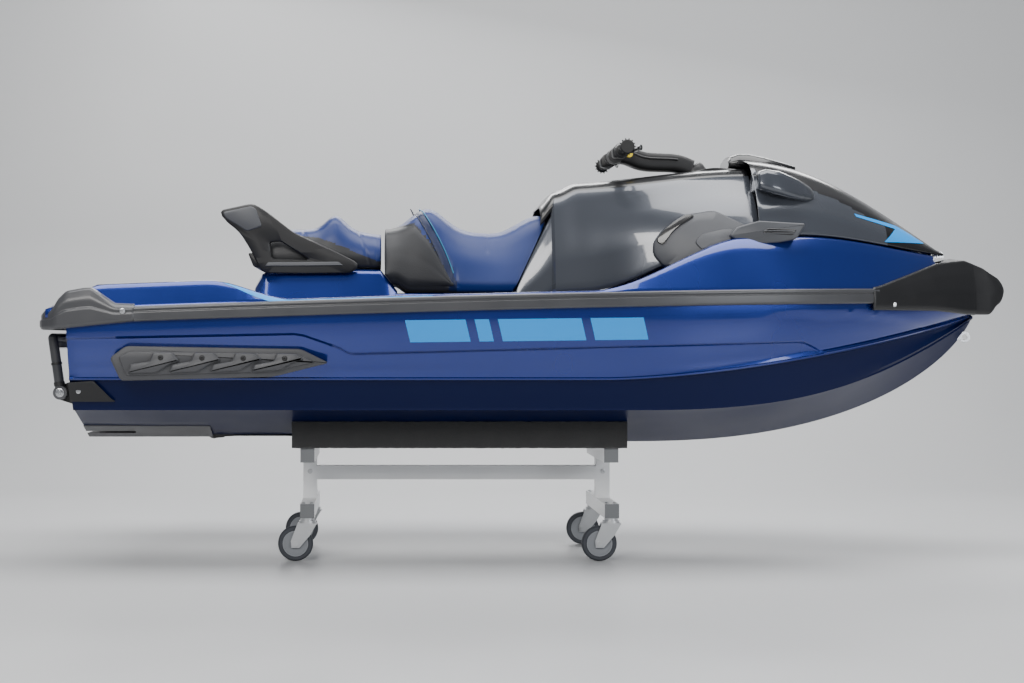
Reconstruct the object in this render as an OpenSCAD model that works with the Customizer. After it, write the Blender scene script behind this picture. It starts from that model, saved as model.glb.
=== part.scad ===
// Three-seat personal watercraft standing on a wheeled cradle.
// Millimetres. +X is forward, +Y is port, +Z is up, and z = 0 is the floor.

/* [Craft] */
// Overall length of the craft
craft_len = 3451; // [2950:1:4200]
// Overall beam over the rub rails
craft_beam = 1255; // [1060:1:1510]
// Height of the keel above the floor
keel_z = 408; // [395:1:490]
// Slope of the hull bottom, rise over run
bottom_slope = 0.318; // [0.26:0.001:0.38]
// Half breadth of the hull at the lower strake
strake_y = 430; // [360:1:500]
// Half breadth of the hull at the chine
chine_y = 520; // [440:1:560]
// Height of the chine above the keel
chine_rise = 242; // [205:1:290]
// Height of the rub rail's centre line above the keel amidships
rail_rise = 503; // [470:1:560]
// Height of the rub rail band
rail_h = 52; // [42:1:62]
// How far the rub rail stands out of the hull
rail_proud = 22; // [18:1:27]
// Height of the rear deck's sides above the side decks
rear_rise = 75; // [60:1:90]
// Height of the front deck's sides above the side decks
front_rise = 180; // [150:1:216]

/* [Cockpit] */
// Depth of the footwells below the rub rail's centre line
well_depth = 140; // [115:1:168]
// Width of a side deck, from the hull side to the footwell
side_deck_w = 78; // [65:1:94]
// Half width of the seat pedestal
pedestal_y = 232; // [195:1:260]
// Height of the rear platform below the rear deck's sides
platform_drop = 62; // [50:1:74]
// Thickness of the deck's moulding round the wells
deck_wall = 14; // [12:1:17]
// Thickness of the grip mats
mat_t = 8; // [7:1:9.6]

/* [Console and hood] */
// Height of the console's top above the keel at the glove box
console_rise = 935; // [900:1:990]
// Half width of the console's top
console_y = 150; // [138:1:180]
// Length of the glove box lid
glove_len = 170; // [142:1:204]
// Half width of the glove box lid
glove_y = 88; // [76:1:104]
// Thickness of lids and outer panels
panel_t = 12; // [10:0.5:14.4]
// Height of the hood's rear edge above the front deck
hood_rise = 272; // [227:1:326]
// Gap round everything that opens
lid_gap = 6; // [5:0.5:7]

/* [Seats] */
// Height of the driver's seat at its low point, above the pedestal
seat_rise = 226; // [190:1:270]
// Height of the driver's bolster above the low point
bolster_rise = 88; // [73:1:105]
// Half width of the driver's seat at its top
seat_top_y = 128; // [107:1:153]
// Gap between a seat and what it stands on
seat_gap = 1; // [0.5:0.1:1.2]

/* [Steering] */
// Half length of the handlebar over its grips
bar_y = 352; // [300:1:400]
// Diameter of the grips
grip_d = 34; // [28:1:40]
// Lean of the steering column from upright, in degrees
column_lean = 38; // [32:1:45]
// Diameter of the steering shaft
shaft_d = 30; // [25:1:36]
// Radial clearance of turning shafts and pins
run_gap = 0.06; // [0.02:0.01:0.09]

/* [Jet pump] */
// Height of the jet pump's axis above the keel
pump_rise = 167; // [150:1:190]
// Radius of the impeller
impeller_r = 72; // [64:1:80]
// Clearance round the impeller and the moving jet parts
jet_gap = 6; // [5:0.5:7]
// Thickness of the pump housing
pump_wall = 26; // [21:1:31]
// Radius of the jet's outlet tube
outlet_r = 50; // [42:1:54]
// Inner radius of the reverse bucket about its pivot
bucket_r = 166; // [160:1:199]
// Half width of the reverse bucket over its arms
bucket_y = 136; // [134:1:150]

/* [Boarding step] */
// Height of the folding boarding step
step_h = 206; // [180:1:216]
// Diameter of the boarding step's tube
step_tube_d = 34; // [28:1:38]
// Distance between the boarding step's tubes, centre to centre
step_w = 860; // [790:1:920]

/* [Fittings] */
// Diameter of the bow eye's hole
bow_eye_d = 22; // [18:1:26]
// Diameter of the stern eyes' holes
stern_eye_d = 24; // [20:1:28]
// Diameter of the cargo sockets' bores
cargo_d = 38; // [32:1:46]
// Distance between the cargo sockets across the deck
cargo_pitch = 420; // [350:1:500]

/* [Cradle] */
// Side of the square tubes
tube = 50; // [42:1:60]
// Wall thickness of the square tubes
tube_wall = 3; // [2.5:0.5:3.5]
// Distance between the two trestles
trestle_pitch = 1073; // [895:1:1280]
// Length of the lower feet
foot_len = 560; // [500:1:672]
// Length of the upper cross bars
bar_len = 520; // [480:1:600]
// Height of the long beam's centre above the floor
beam_z = 295; // [262:1:310]
// Length of the bunks
bunk_len = 1183; // [985:1:1420]
// Half breadth of the bunks at their inner edges
bunk_in = 150; // [125:1:160]
// Width of a bunk
bunk_w = 130; // [108:1:156]
// Thickness of the plastic end caps
cap_t = 5; // [4:0.5:6]

/* [Casters] */
// Diameter of the caster wheels
wheel_d = 125; // [105:1:140]
// Width of the caster wheels
wheel_w = 32; // [27:1:38]
// Distance of the wheel's axle behind the swivel axis
trail = 42; // [35:1:50]
// Diameter of the caster axles
axle_d = 12; // [10:1:14]
// Thickness of the fork's plate
fork_t = 4; // [3.5:0.5:5]
// Distance of the swivel axes from the feet's ends
caster_inset = 25; // [20:1:30]

/* [Hidden] */
$fn = 48;
eps = 0.01;
half_beam = craft_beam / 2;
bow_x = craft_len / 2;
stern_x = -craft_len / 2;
wide_x = -300;
// Length of the soft bumpers ahead of and behind the shell
bumper_len = 36;
stem_x = bow_x - 118;
deck_aft_x = stern_x + bumper_len;
transom_x = stern_x + 108;
stern_tuck = 55;
// Forward end of the level bottom
level_x = 350;
stem_rise = 513;
// Stations of the lofted shells, closer together towards the stem
bow_steps = 16;
aft_steps = 14;

function clamp01(t) = max(0, min(1, t));
function ramp(x, a, b) = let (t = clamp01((x - a) / (b - a))) t * t * (3 - 2 * t);
function lerp(a, b, t) = a + (b - a) * t;
function linspace(a, b, n) = [for (i = [0:n]) a + (b - a) * i / n];

// Half breadth over the rub rail
function rail_y(x) =
    x > wide_x
    ? half_beam * (1 - pow(clamp01((x - wide_x) / (bow_x - wide_x)), 2.8))
    : half_beam - stern_tuck * pow((wide_x - x) / (wide_x - stern_x), 2);
function side_y(x) = rail_y(x) - rail_proud;
function rail_z(x) = keel_z + rail_rise + 0.0245 * x - 0.0000045 * x * x;

// Keel line: level, then a rising stem
function stem_t(x) = clamp01((x - level_x) / (stem_x + 25 - level_x));
function keel(x) = keel_z + stem_rise * (1 - pow(1 - pow(stem_t(x), 2.4), 0.62));
function chine_t(x) = clamp01((x - 200) / (stem_x + 20 - 200));
function chine_z(x) = keel_z + chine_rise + 220 * pow(chine_t(x), 1.6);
function chine_w(x) = min(chine_y * (1 - pow(chine_t(x), 2.2)), side_y(x) * 0.9);
function strake_w(x) = strake_y / chine_y * chine_w(x);
function strake_z(x) =
    lerp(keel_z + strake_y * bottom_slope, lerp(keel(x), chine_z(x), 0.72), ramp(x, level_x, stem_x));
function crease_z(x) = lerp(chine_z(x), rail_z(x), 0.44);
function crease_w(x) = lerp(chine_w(x), side_y(x), 0.72);

// Top of the deck's sides and the half breadth there
function gun_z(x) =
    rail_z(x) + 32 + rear_rise * (1 - ramp(x, -1150, -850))
    + front_rise * ramp(x, 150, 720) - 75 * ramp(x, 900, stem_x);
function gun_inset(x) = 12 + 0.48 * max(0, gun_z(x) - rail_z(x) - 32);
function gun_y(x) = max(side_y(x) - gun_inset(x), 30);

// Footwell floor: low amidships, up to the platform aft and to a toe slope forward
well_x0 = -1000;
well_x1 = 560;
platform_z = gun_z(-1400) - platform_drop;
well_z = rail_z(-200) - well_depth;
function floor_z(x) =
    x < -200
    ? lerp(platform_z, well_z, ramp(x, well_x0 - 40, well_x0 + 180))
    : lerp(well_z, well_z + 120, ramp(x, 380, well_x1));
function well_out(x) = side_y(x) - side_deck_w - 0.35 * max(0, gun_z(x) - rail_z(x) - 32);

// Stations
xs_aft = linspace(transom_x, level_x, aft_steps);
xs_bow = [for (i = [1:bow_steps]) lerp(level_x, stem_x, sin(90 * i / bow_steps))];
xs_hull = concat(xs_aft, xs_bow);
xs_deck = concat([deck_aft_x], xs_hull);

// A solid through closed sections: each is a list of [y, z] at its own x.
// Its facets on the starboard side mirror those on the port side
module loft(xs, sections) {
    n = len(sections[0]);
    m = len(xs);
    points = [for (i = [0:m - 1]) for (p = sections[i]) [xs[i], p[0], p[1]]];
    sides = [
        for (i = [0:m - 2])
            for (j = [0:n - 1])
                let (a = i * n + j, b = i * n + (j + 1) % n, y = sections[i][j][0] + sections[i][(j + 1) % n][0])
                    each y < -eps ? [[a, a + n, b], [a + n, b + n, b]] : [[a, b + n, b], [a, a + n, b + n]]
    ];
    first = [for (j = [0:n - 1]) j];
    last = [for (j = [n - 1:-1:0]) (m - 1) * n + j];
    polyhedron(points = points, faces = concat([first], sides, [last]), convexity = 8);
}

// A whole section from its port half, which runs from the bottom centre to the top centre
function both(half) =
    concat(half, [for (i = [len(half) - 1:-1:0]) if (half[i][0] > eps) [-half[i][0], half[i][1]]]);

// A moulded piece: its walls become one meshed surface
module moulded() {
    resize([0, 0, 0]) children();
}

module mirrored() {
    children();
    mirror([0, 1, 0]) children();
}

// A box between two corners
module block(a, b) {
    translate(a) cube(b - a);
}

// A cylinder along an axis, centred on a place
module rod_x(p, r, len) {
    translate(p) rotate([0, 90, 0]) cylinder(r = r, h = len, center = true);
}

module rod_y(p, r, len) {
    translate(p) rotate([90, 0, 0]) cylinder(r = r, h = len, center = true);
}

// A plate with an outline in the X-Z plane, between two values of y
module plate_xz(outline, y0, y1) {
    translate([0, y1, 0]) rotate([90, 0, 0]) linear_extrude(y1 - y0) polygon(outline);
}

// ---- Hull ----

function hull_half(x) = [
    [0, keel(x)],
    [strake_w(x), strake_z(x)],
    [strake_w(x) + 12, strake_z(x) + 3],
    [chine_w(x), chine_z(x)],
    [crease_w(x), crease_z(x)],
    [side_y(x), rail_z(x) - rail_h / 2],
    [side_y(x), rail_z(x)],
    [0, rail_z(x)]
];

module hull_loft() {
    loft(xs_hull, [for (x = xs_hull) both(hull_half(x))]);
}

// Space that the deck's liner takes below the rub rail's centre line
xs_liner = concat([transom_x + 60], linspace(-1040, well_x1 + 20, 16));

module liner_block(top) {
    loft(xs_liner, [
        for (x = xs_liner)
            both([
                [0, floor_z(x) - deck_wall],
                [well_out(x) + deck_wall, floor_z(x) - deck_wall],
                [well_out(x) + deck_wall, top],
                [0, top]
            ])
    ]);
}

// Engine bay under the seats
bay_x0 = -660;
bay_x1 = -96;
bay_y = 196;
bay_z = keel_z + 92;

module engine_bay() {
    block([bay_x0, -bay_y, bay_z], [bay_x1, bay_y, pedestal_z + 1]);
}

// Jet recess in the stern, its tunnel and its water intake
pump_z = keel_z + pump_rise;
tunnel_y = impeller_r + jet_gap + pump_wall + 8;
recess_y = bucket_y + 22;
tunnel_x = transom_x + 360;
pump_pivot_x = transom_x + 117;
recess_x = pump_pivot_x + 60;
recess_top = pump_z + bucket_r + 50;
plate_x1 = transom_x + 450;
plate_y = 214;
intake_x0 = tunnel_x;
intake_x1 = tunnel_x + 420;
intake_y = 98;

module jet_recess() {
    block([transom_x - 200, -recess_y, keel_z + 38], [recess_x, recess_y, recess_top]);
    block([transom_x - 200, -tunnel_y, keel_z + 38], [tunnel_x, tunnel_y, pump_z + tunnel_y]);
}

module water_intake() {
    hull() {
        rod_x([intake_x0 - 1, 0, pump_z], impeller_r + jet_gap, 2);
        block([intake_x0 + 60, -intake_y, keel_z - 60], [intake_x1, intake_y, keel_z - 58]);
    }
}

module stern_notch() {
    block([transom_x - 10, -plate_y, keel_z - 20], [plate_x1, plate_y, keel_z + 97]);
}

module corner_notch() {
    mirrored()
        plate_xz([
            [transom_x - 10, keel_z + 163],
            [transom_x + 150, keel_z + 163],
            [transom_x + 100, keel_z + 232],
            [transom_x - 10, keel_z + 226]
        ], chine_y - 80, half_beam);
}

// Storage bin under the hood
bin_x0 = 800;
bin_x1 = bow_x - 415;
bin_floor = keel_z + 330;
bin_wall = 6;
xs_bin = linspace(bin_x0, bin_x1, 8);
function bin_y(x) = min(gun_y(x) - 62, 300);
function bin_low(x) = max(bin_floor, lerp(keel(x), chine_z(x), 0.55) + 60);

module bin_block(inset) {
    xs = [for (i = [0:8]) xs_bin[i] + (i == 0 ? inset : i == 8 ? -inset : 0)];
    loft(xs, [
        for (x = xs)
            both([
                [0, bin_low(x) + inset],
                [bin_y(x) * 0.7 - inset, bin_low(x) + inset],
                [bin_y(x) - inset, bin_low(x) + 90],
                [bin_y(x) - inset, gun_z(x) + (inset > 0 ? 60 : 4)],
                [0, gun_z(x) + (inset > 0 ? 60 : 4)]
            ])
    ]);
}

// Drive shaft from the engine bay to the impeller
shaft_r = 14;
shaft_x1 = tunnel_x + 307;

module shaft_tunnel() {
    translate([tunnel_x - 1, 0, pump_z]) rotate([0, 90, 0])
        cylinder(r = shaft_r + 2, h = shaft_x1 - tunnel_x + 3);
}

module hull_shell() {
    color("midnightblue")
        moulded() difference() {
            hull_loft();
            liner_block(keel_z + 700);
            engine_bay();
            jet_recess();
            water_intake();
            stern_notch();
            corner_notch();
            bin_block(0);
            socket_holes();
            shaft_tunnel();
        }
}

module stern_corner_caps() {
    color("dimgray")
        moulded() intersection() {
            hull_loft();
            corner_notch();
        }
}

module storage_bin() {
    color("black")
        moulded() difference() {
            bin_block(0);
            bin_block(bin_wall);
        }
}

// ---- Deck ----

pedestal_z = gun_z(-300) + 12;
rear_pedestal_z = pedestal_z + 88;

function deck_half(x) = [
    [0, rail_z(x)],
    [side_y(x), rail_z(x)],
    [side_y(x), rail_z(x) + rail_h / 2],
    [lerp(side_y(x), gun_y(x), 0.75), lerp(rail_z(x) + rail_h / 2, gun_z(x), 0.8)],
    [gun_y(x), gun_z(x)],
    [0, gun_z(x)]
];

module deck_loft() {
    loft(xs_deck, [for (x = xs_deck) both(deck_half(x))]);
}

// The open space over the footwells and the rear platform
xs_well = linspace(well_x0 - 40, well_x1, 16);
xs_platform = [stern_x - 20, transom_x + 60, well_x0 - 40 + eps];

module wells() {
    mirrored()
        loft(xs_well, [
            for (x = xs_well)
                [
                    [pedestal_y, floor_z(x)],
                    [well_out(x), floor_z(x)],
                    [well_out(x) + 6, keel_z + 900],
                    [pedestal_y, keel_z + 900]
                ]
        ]);
    loft(xs_platform, [
        for (x = xs_platform)
            both([
                [0, platform_z],
                [well_out(x), platform_z],
                [well_out(x) + 6, keel_z + 900],
                [0, keel_z + 900]
            ])
    ]);
}

// Raised moulding under the passenger seat and the grab handle
rear_x0 = -1010;
rear_x1 = -560;

module rear_pedestal() {
    loft([rear_x0, rear_x0 + 60, rear_x1, rear_x1 + 60], [
        for (s = [[150, 0.55], [176, 1], [184, 1], [190, 0.1]])
            both([
                [0, platform_z - 2],
                [pedestal_y, platform_z - 2],
                [pedestal_y, pedestal_z - 30],
                [s[0], lerp(pedestal_z, rear_pedestal_z, s[1])],
                [0, lerp(pedestal_z, rear_pedestal_z, s[1])]
            ])
    ]);
}

// Console core between the footwells, open under the glove box lid
con_x0 = 60;
con_x1 = 742;
xs_con = linspace(con_x0, con_x1, 8);
function con_z(x) =
    keel_z + console_rise + 55 * ramp(x, con_x0, con_x1) - 30 * (1 - ramp(x, con_x0, con_x0 + 90));
function con_low_y(x) = lerp(pedestal_y, gun_y(con_x1) - 60, ramp(x, 250, con_x1));
core_drop = 62;

module console_core() {
    loft(xs_con, [
        for (x = xs_con)
            both([
                [0, rail_z(x) + 1],
                [pedestal_y - 4, rail_z(x) + 1],
                [con_low_y(x), gun_z(x) - 4],
                [console_y + 8, con_z(x) - core_drop],
                [0, con_z(x) - core_drop]
            ])
    ]);
}

// Toe of the console that runs down and aft under the front of the seat
toe_x = -84;
toe_top = 292;

module console_toe(half_w, gap) {
    plate_xz([
        [toe_x - gap, pedestal_z - 40],
        [con_x0 + 1, pedestal_z - 40],
        [con_x0 + 1, pedestal_z + toe_top],
        [con_x0 - 3 - gap, pedestal_z + toe_top],
        [toe_x - gap, pedestal_z]
    ], -half_w, half_w);
}

// Glove box
glove_x0 = 74;
glove_x1 = glove_x0 + glove_len;
glove_floor = keel_z + 730;
glove_hinge = [glove_x1 + 14, 0, con_z(glove_x1 + 14) - 26];
hinge_pin_r = 4;

module glove_space(rim) {
    block([glove_x0 - rim, -glove_y - rim, glove_floor], [glove_x1 + rim, glove_y + rim, keel_z + 1100]);
}

// Hood hinge at the nose of the hood
nose_x = bow_x - 236;
hood_hinge = [nose_x, 0, gun_z(nose_x) + 14];
hood_pin_r = 5;

module hood_hinge_lugs() {
    for (s = [-1, 1])
        difference() {
            hull() {
                rod_y([hood_hinge[0], s * 28, hood_hinge[2]], 10, 10);
                block([nose_x - 12, s * 28 - 5, gun_z(nose_x - 12) + 1], [nose_x + 12, s * 28 + 5, gun_z(nose_x - 12) + 3]);
            }
            rod_y([hood_hinge[0], s * 28, hood_hinge[2]], hood_pin_r, 20);
        }
}

// Bores of the cargo sockets in the platform
cargo_x = -1330;
cargo_depth = 60;
cargo_ring_w = 9;

module cargo_places() {
    for (s = [-1, 1])
        translate([cargo_x, s * cargo_pitch / 2, platform_z]) children();
}

// The holes that the sockets fill
module socket_holes() {
    cargo_places() translate([0, 0, -cargo_depth])
        cylinder(r = cargo_d / 2 + cargo_ring_w + 1, h = cargo_depth + 2);
}

module deck() {
    color("navy")
        moulded() difference() {
            union() {
                difference() {
                    union() {
                        deck_loft();
                        liner_block(rail_z(0) + 4);
                    }
                    wells();
                }
                rear_pedestal();
                console_core();
                intersection() {
                    console_toe(pedestal_y, 0);
                    loft([toe_x - 5, con_x0 + 1], [
                        for (x = [toe_x - 5, con_x0 + 1])
                            both([
                                [0, pedestal_z - 40],
                                [pedestal_y - 4, pedestal_z - 40],
                                [pedestal_y - 4, gun_z(con_x0)],
                                [console_y - 4, pedestal_z + toe_top],
                                [0, pedestal_z + toe_top]
                            ])
                    ]);
                }
            }
            engine_bay();
            glove_space(0);
            block([glove_x0 - 14, -glove_y - 14, con_z(glove_x0) - core_drop - 1],
                [glove_x1 + 34, glove_y + 14, keel_z + 1100]);
            bin_block(0);
            socket_holes();
            mat_spaces();
        }
}

// Mats let into the floors
module mat_spaces() {
    mirrored()
        loft(xs_mat, [
            for (x = xs_mat)
                [
                    [pedestal_y + mat_edge, floor_z(x) - mat_t],
                    [well_out(x) - mat_edge, floor_z(x) - mat_t],
                    [well_out(x) - mat_edge, floor_z(x)],
                    [pedestal_y + mat_edge, floor_z(x)]
                ]
        ]);
    difference() {
        block([transom_x + 20, -cargo_pitch / 2 - 130, platform_z - mat_t],
            [rear_x0 - 60, cargo_pitch / 2 + 130, platform_z]);
        socket_holes();
    }
}

mat_edge = 24;
xs_mat = [for (i = [3:12]) xs_well[i]];

module deck_mats() {
    color("dimgray") moulded() mat_spaces();
}

module cargo_sockets() {
    color("black")
        cargo_places() translate([0, 0, -cargo_depth])
            difference() {
                cylinder(r = cargo_d / 2 + cargo_ring_w, h = cargo_depth);
                translate([0, 0, 10]) cylinder(r = cargo_d / 2, h = cargo_depth);
            }
}

module engine_block() {
    gap = 34;
    color("gray")
        block([bay_x0 + gap, -bay_y + gap, bay_z], [bay_x1 - gap, bay_y - gap, bay_z + 400]);
}

// ---- Rails and bumpers ----

rail_x0 = stern_x + 345;
rail_x1 = bow_x - 560;
xs_rail = concat([rail_x0], [for (x = xs_hull) if (x > rail_x0 + 20 && x < rail_x1 - 10) x], [rail_x1]);

// A band along both sides: from the shell out to the given distance
module side_band(xs, low, high, out) {
    mirrored()
        loft(xs, [
            for (x = xs)
                [
                    [shell_y(x) , rail_z(x) + low],
                    [shell_y(x) + out - 5, rail_z(x) + low],
                    [shell_y(x) + out, rail_z(x) + low + 6],
                    [shell_y(x) + out, rail_z(x) + high - 6],
                    [shell_y(x) + out - 5, rail_z(x) + high],
                    [shell_y(x), rail_z(x) + high]
                ]
        ]);
}

// The shell's half breadth along its facets, so that bands lie flat on it
function facet(x, i = 0) =
    i >= len(xs_deck) - 2 || x < xs_deck[i + 1] ? i : facet(x, i + 1);
function shell_y(x) =
    let (i = facet(x), a = xs_deck[i], b = xs_deck[i + 1])
        lerp(side_y(a), side_y(b), (x - a) / (b - a));

module rub_rails() {
    color("slategray") side_band(xs_rail, -rail_h / 2, rail_h / 2, rail_proud);
}

xs_nose = concat([rail_x1], [for (x = xs_hull) if (x > rail_x1 + 10) x]);

module bow_bumper() {
    bottom_z = keel(stem_x) + 8;
    tip_z = rail_z(stem_x) + 80;
    deck_end = gun_z(stem_x);
    color("black") {
        moulded() {
            side_band(xs_nose, -rail_h / 2 - 14, rail_h / 2 + 22, rail_proud + 4);
            loft([stem_x, stem_x + 50, bow_x - 12, bow_x], [
                for (s = [
                    [side_y(stem_x) + rail_proud + 4, bottom_z, deck_end],
                    [92, bottom_z + 18, deck_end - 16],
                    [58, bottom_z + 70, tip_z],
                    [40, bottom_z + 92, tip_z - 12]
                ])
                    both([
                        [0, s[1]],
                        [s[0] * 0.6, s[1]],
                        [s[0], lerp(s[1], s[2], 0.35)],
                        [s[0], lerp(s[1], s[2], 0.75)],
                        [s[0] * 0.5, s[2]],
                        [0, s[2]]
                    ])
            ]);
        }
    }
}

xs_tail = concat([for (x = xs_deck) if (x < rail_x0 - 20) x], [rail_x0]);

module stern_bumper() {
    low = -42;
    strip = 28;
    end_y = side_y(deck_aft_x);
    color("black") moulded() {
        side_band(xs_tail, low, strip, rail_proud);
        loft([stern_x, stern_x + 10, deck_aft_x], [
            for (s = [[-30, 12], [-4, 2], [rail_proud, 0]])
                both([
                    [0, rail_z(deck_aft_x) + low + s[1]],
                    [end_y + s[0], rail_z(deck_aft_x) + low + s[1]],
                    [end_y + s[0], rail_z(deck_aft_x) + strip - s[1]],
                    [0, rail_z(deck_aft_x) + strip - s[1]]
                ])
        ]);
        block([deck_aft_x - 10, -end_y + 30, rail_z(deck_aft_x) + strip - 1],
            [deck_aft_x, end_y - 30, platform_z]);
        mirrored()
            loft([deck_aft_x - 10, deck_aft_x], [
                for (x = [deck_aft_x, deck_aft_x])
                    [
                        [well_out(x), rail_z(x) + strip - 1],
                        [end_y + 6, rail_z(x) + strip - 1],
                        [gun_y(x) + 8, gun_z(x)],
                        [well_out(x) + 4, gun_z(x)]
                    ]
            ]);
    }
}

// ---- Underbody ----

module sponsons() {
    x0 = stern_x + 257;
    z0 = keel_z + 236;
    outline = [
        [x0, z0 + 77],
        [x0 + 37, z0],
        [x0 + 548, z0 + 13],
        [x0 + 735, z0 + 60],
        [x0 + 642, z0 + 107],
        [x0 + 54, z0 + 117]
    ];
    out_y = half_beam - 12;
    color("dimgray")
        moulded() mirrored()
            difference() {
                union() {
                    plate_xz(outline, chine_y - 20, out_y - 22);
                    for (i = [0:2])
                        plate_xz([
                            [x0 + 70 + i * 180, z0 + 20],
                            [x0 + 200 + i * 180, z0 + 40],
                            [x0 + 225 + i * 180, z0 + 96],
                            [x0 + 110 + i * 180, z0 + 100]
                        ], chine_y - 20, out_y);
                }
                hull_loft();
                block([x0 - 50, 0, z0 - 50], [x0 + 800, chine_y - 20 + eps, z0 + 200]);
            }
}

module ride_plate() {
    low = keel_z + 22;
    color("dimgray")
        difference() {
            translate([transom_x, 0, 0]) rotate([90, 0, 90])
                linear_extrude(plate_x1 - transom_x)
                    polygon([
                        [-plate_y, keel_z + 97],
                        [-plate_y, keel_z + 66],
                        [-90, low],
                        [90, low],
                        [plate_y, keel_z + 66],
                        [plate_y, keel_z + 97]
                    ]);
            jet_recess();
            water_intake();
        }
}

// Bars over the water intake, in a frame
module intake_grate() {
    bar = 8;
    frame_w = 14;
    x0 = plate_x1 + 10;
    x1 = intake_x1 + 6;
    z0 = keel_z + 26;
    color("silver")
        difference() {
            union() {
                for (s = [-1, 1])
                    block([x0, s * (intake_y - frame_w) - (s < 0 ? frame_w : 0), z0],
                        [x1 - 30, s * (intake_y - frame_w) + (s > 0 ? frame_w : 0), z0 + bar]);
                for (x = [x0, x1 - 30 - frame_w])
                    block([x, -intake_y, z0], [x + frame_w, intake_y, z0 + bar]);
                for (i = [-2:2])
                    block([x0, i * 30 - bar / 2, z0], [x1 - 30, i * 30 + bar / 2, z0 + bar]);
            }
            difference() {
                block([x0 - 20, -200, z0 - 5], [x1 + 20, 200, z0 + bar + 5]);
                water_intake();
            }
        }
}

// ---- Jet pump ----

pump_r = impeller_r + jet_gap;
pump_x1 = tunnel_x;
cone_x = pump_pivot_x - 18;
nozzle_x = pump_pivot_x - 60;
nozzle_wall = 5;
nozzle_r = outlet_r + 16;
bucket_pin_r = 8;
nozzle_pin_r = 6;

module pump_housing() {
    lug_z = nozzle_r + nozzle_wall + jet_gap;
    color("slategray")
        difference() {
            union() {
                translate([cone_x, 0, pump_z]) rotate([0, 90, 0])
                    cylinder(r = pump_r + pump_wall, h = pump_x1 - cone_x);
                translate([nozzle_x + 30, 0, pump_z]) rotate([0, 90, 0])
                    cylinder(r = outlet_r, h = cone_x - nozzle_x);
                translate([nozzle_x - 2, 0, pump_z]) rotate([0, 90, 0])
                    cylinder(r = outlet_r, h = 60);
                for (s = [-1, 1])
                    block([nozzle_x - 16, -16, pump_z + s * (lug_z + 4) - 4],
                        [cone_x + 1, 16, pump_z + s * (lug_z + 4) + 4]);
                rod_y([pump_pivot_x, 0, pump_z], bucket_pin_r, bucket_y * 2);
                rod_y([pump_pivot_x, 0, pump_z], bucket_pin_r + 8, (bucket_y - 14) * 2);
            }
            translate([cone_x + 40, 0, pump_z]) rotate([0, 90, 0])
                cylinder(r = pump_r, h = pump_x1 - cone_x);
            translate([cone_x - 1, 0, pump_z]) rotate([0, 90, 0])
                cylinder(r1 = outlet_r - 6, r2 = pump_r, h = 41.02);
            translate([nozzle_x - 10, 0, pump_z]) rotate([0, 90, 0])
                cylinder(r = outlet_r - 6, h = cone_x - nozzle_x + 20);
            for (s = [-1, 1])
                translate([nozzle_x, 0, pump_z + s * (lug_z + 4)])
                    cylinder(r = nozzle_pin_r + run_gap, h = 20, center = true);
        }
}

impeller_x = pump_pivot_x + 130;

module impeller() {
    hub_r = 26;
    blade_len = 70;
    color("silver") {
        translate([impeller_x, 0, pump_z]) rotate([0, 90, 0]) {
            cylinder(r = hub_r, h = blade_len + 20, center = true);
            for (i = [0:2])
                rotate([0, 0, i * 120])
                    linear_extrude(blade_len, center = true, twist = 70, slices = 6)
                        translate([hub_r - 4, -3]) square([impeller_r - hub_r + 4, 6]);
        }
        translate([impeller_x, 0, pump_z]) rotate([0, 90, 0])
            cylinder(r = shaft_r, h = shaft_x1 - impeller_x);
    }
}

module steering_nozzle() {
    tip_x = nozzle_x - 80;
    tip_r = outlet_r - 8;
    front_x = nozzle_x + 14;
    pin_h = nozzle_r + nozzle_wall + jet_gap + 9;
    color("slategray")
        difference() {
            union() {
                translate([tip_x, 0, pump_z]) rotate([0, 90, 0])
                    cylinder(r1 = tip_r + nozzle_wall, r2 = nozzle_r + nozzle_wall, h = 50);
                translate([tip_x + 50, 0, pump_z]) rotate([0, 90, 0])
                    cylinder(r = nozzle_r + nozzle_wall, h = front_x - tip_x - 50);
                translate([nozzle_x, 0, pump_z]) cylinder(r = nozzle_pin_r, h = pin_h * 2, center = true);
            }
            translate([tip_x - 0.5, 0, pump_z]) rotate([0, 90, 0])
                cylinder(r1 = tip_r, r2 = nozzle_r, h = 51);
            translate([tip_x + 50, 0, pump_z]) rotate([0, 90, 0])
                cylinder(r = nozzle_r, h = front_x - tip_x);
        }
}

// How far the parked bucket is turned up, and the angle that its scoop spans
bucket_up = 66;
bucket_span = 56;
bucket_t = 9;

module reverse_bucket() {
    arm_t = 8;
    color("dimgray")
        translate([pump_pivot_x, 0, pump_z]) {
            rotate([90, 0, 0]) rotate([0, 0, 180 - bucket_up - bucket_span / 2])
                rotate_extrude(angle = bucket_span, $fn = 96)
                    translate([bucket_r, -bucket_y]) square([bucket_t, bucket_y * 2]);
            for (s = [-1, 1])
                difference() {
                    translate([0, s * (bucket_y - arm_t / 2 - 1), 0]) rotate([90, 0, 0])
                        linear_extrude(arm_t, center = true) bucket_arm();
                    rod_y([0, s * bucket_y, 0], bucket_pin_r + run_gap, 40);
                }
        }
}

module bucket_arm() {
    root_w = 14;
    arm_span = bucket_span - 3;
    r = bucket_r + bucket_t / 2;
    a = 180 - bucket_up;
    circle(r = bucket_pin_r + 12);
    polygon([
        root_w * [-sin(a), cos(a)],
        for (k = [-4:4]) r * [cos(a - k * arm_span / 8), sin(a - k * arm_span / 8)],
        root_w * [sin(a), -cos(a)]
    ]);
}

// ---- Boarding step ----

step_pivot = [transom_x - 42, 0, keel_z + 192];
step_lean = 8;
step_pin_r = 8;
step_eye_w = step_tube_d;

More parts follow.
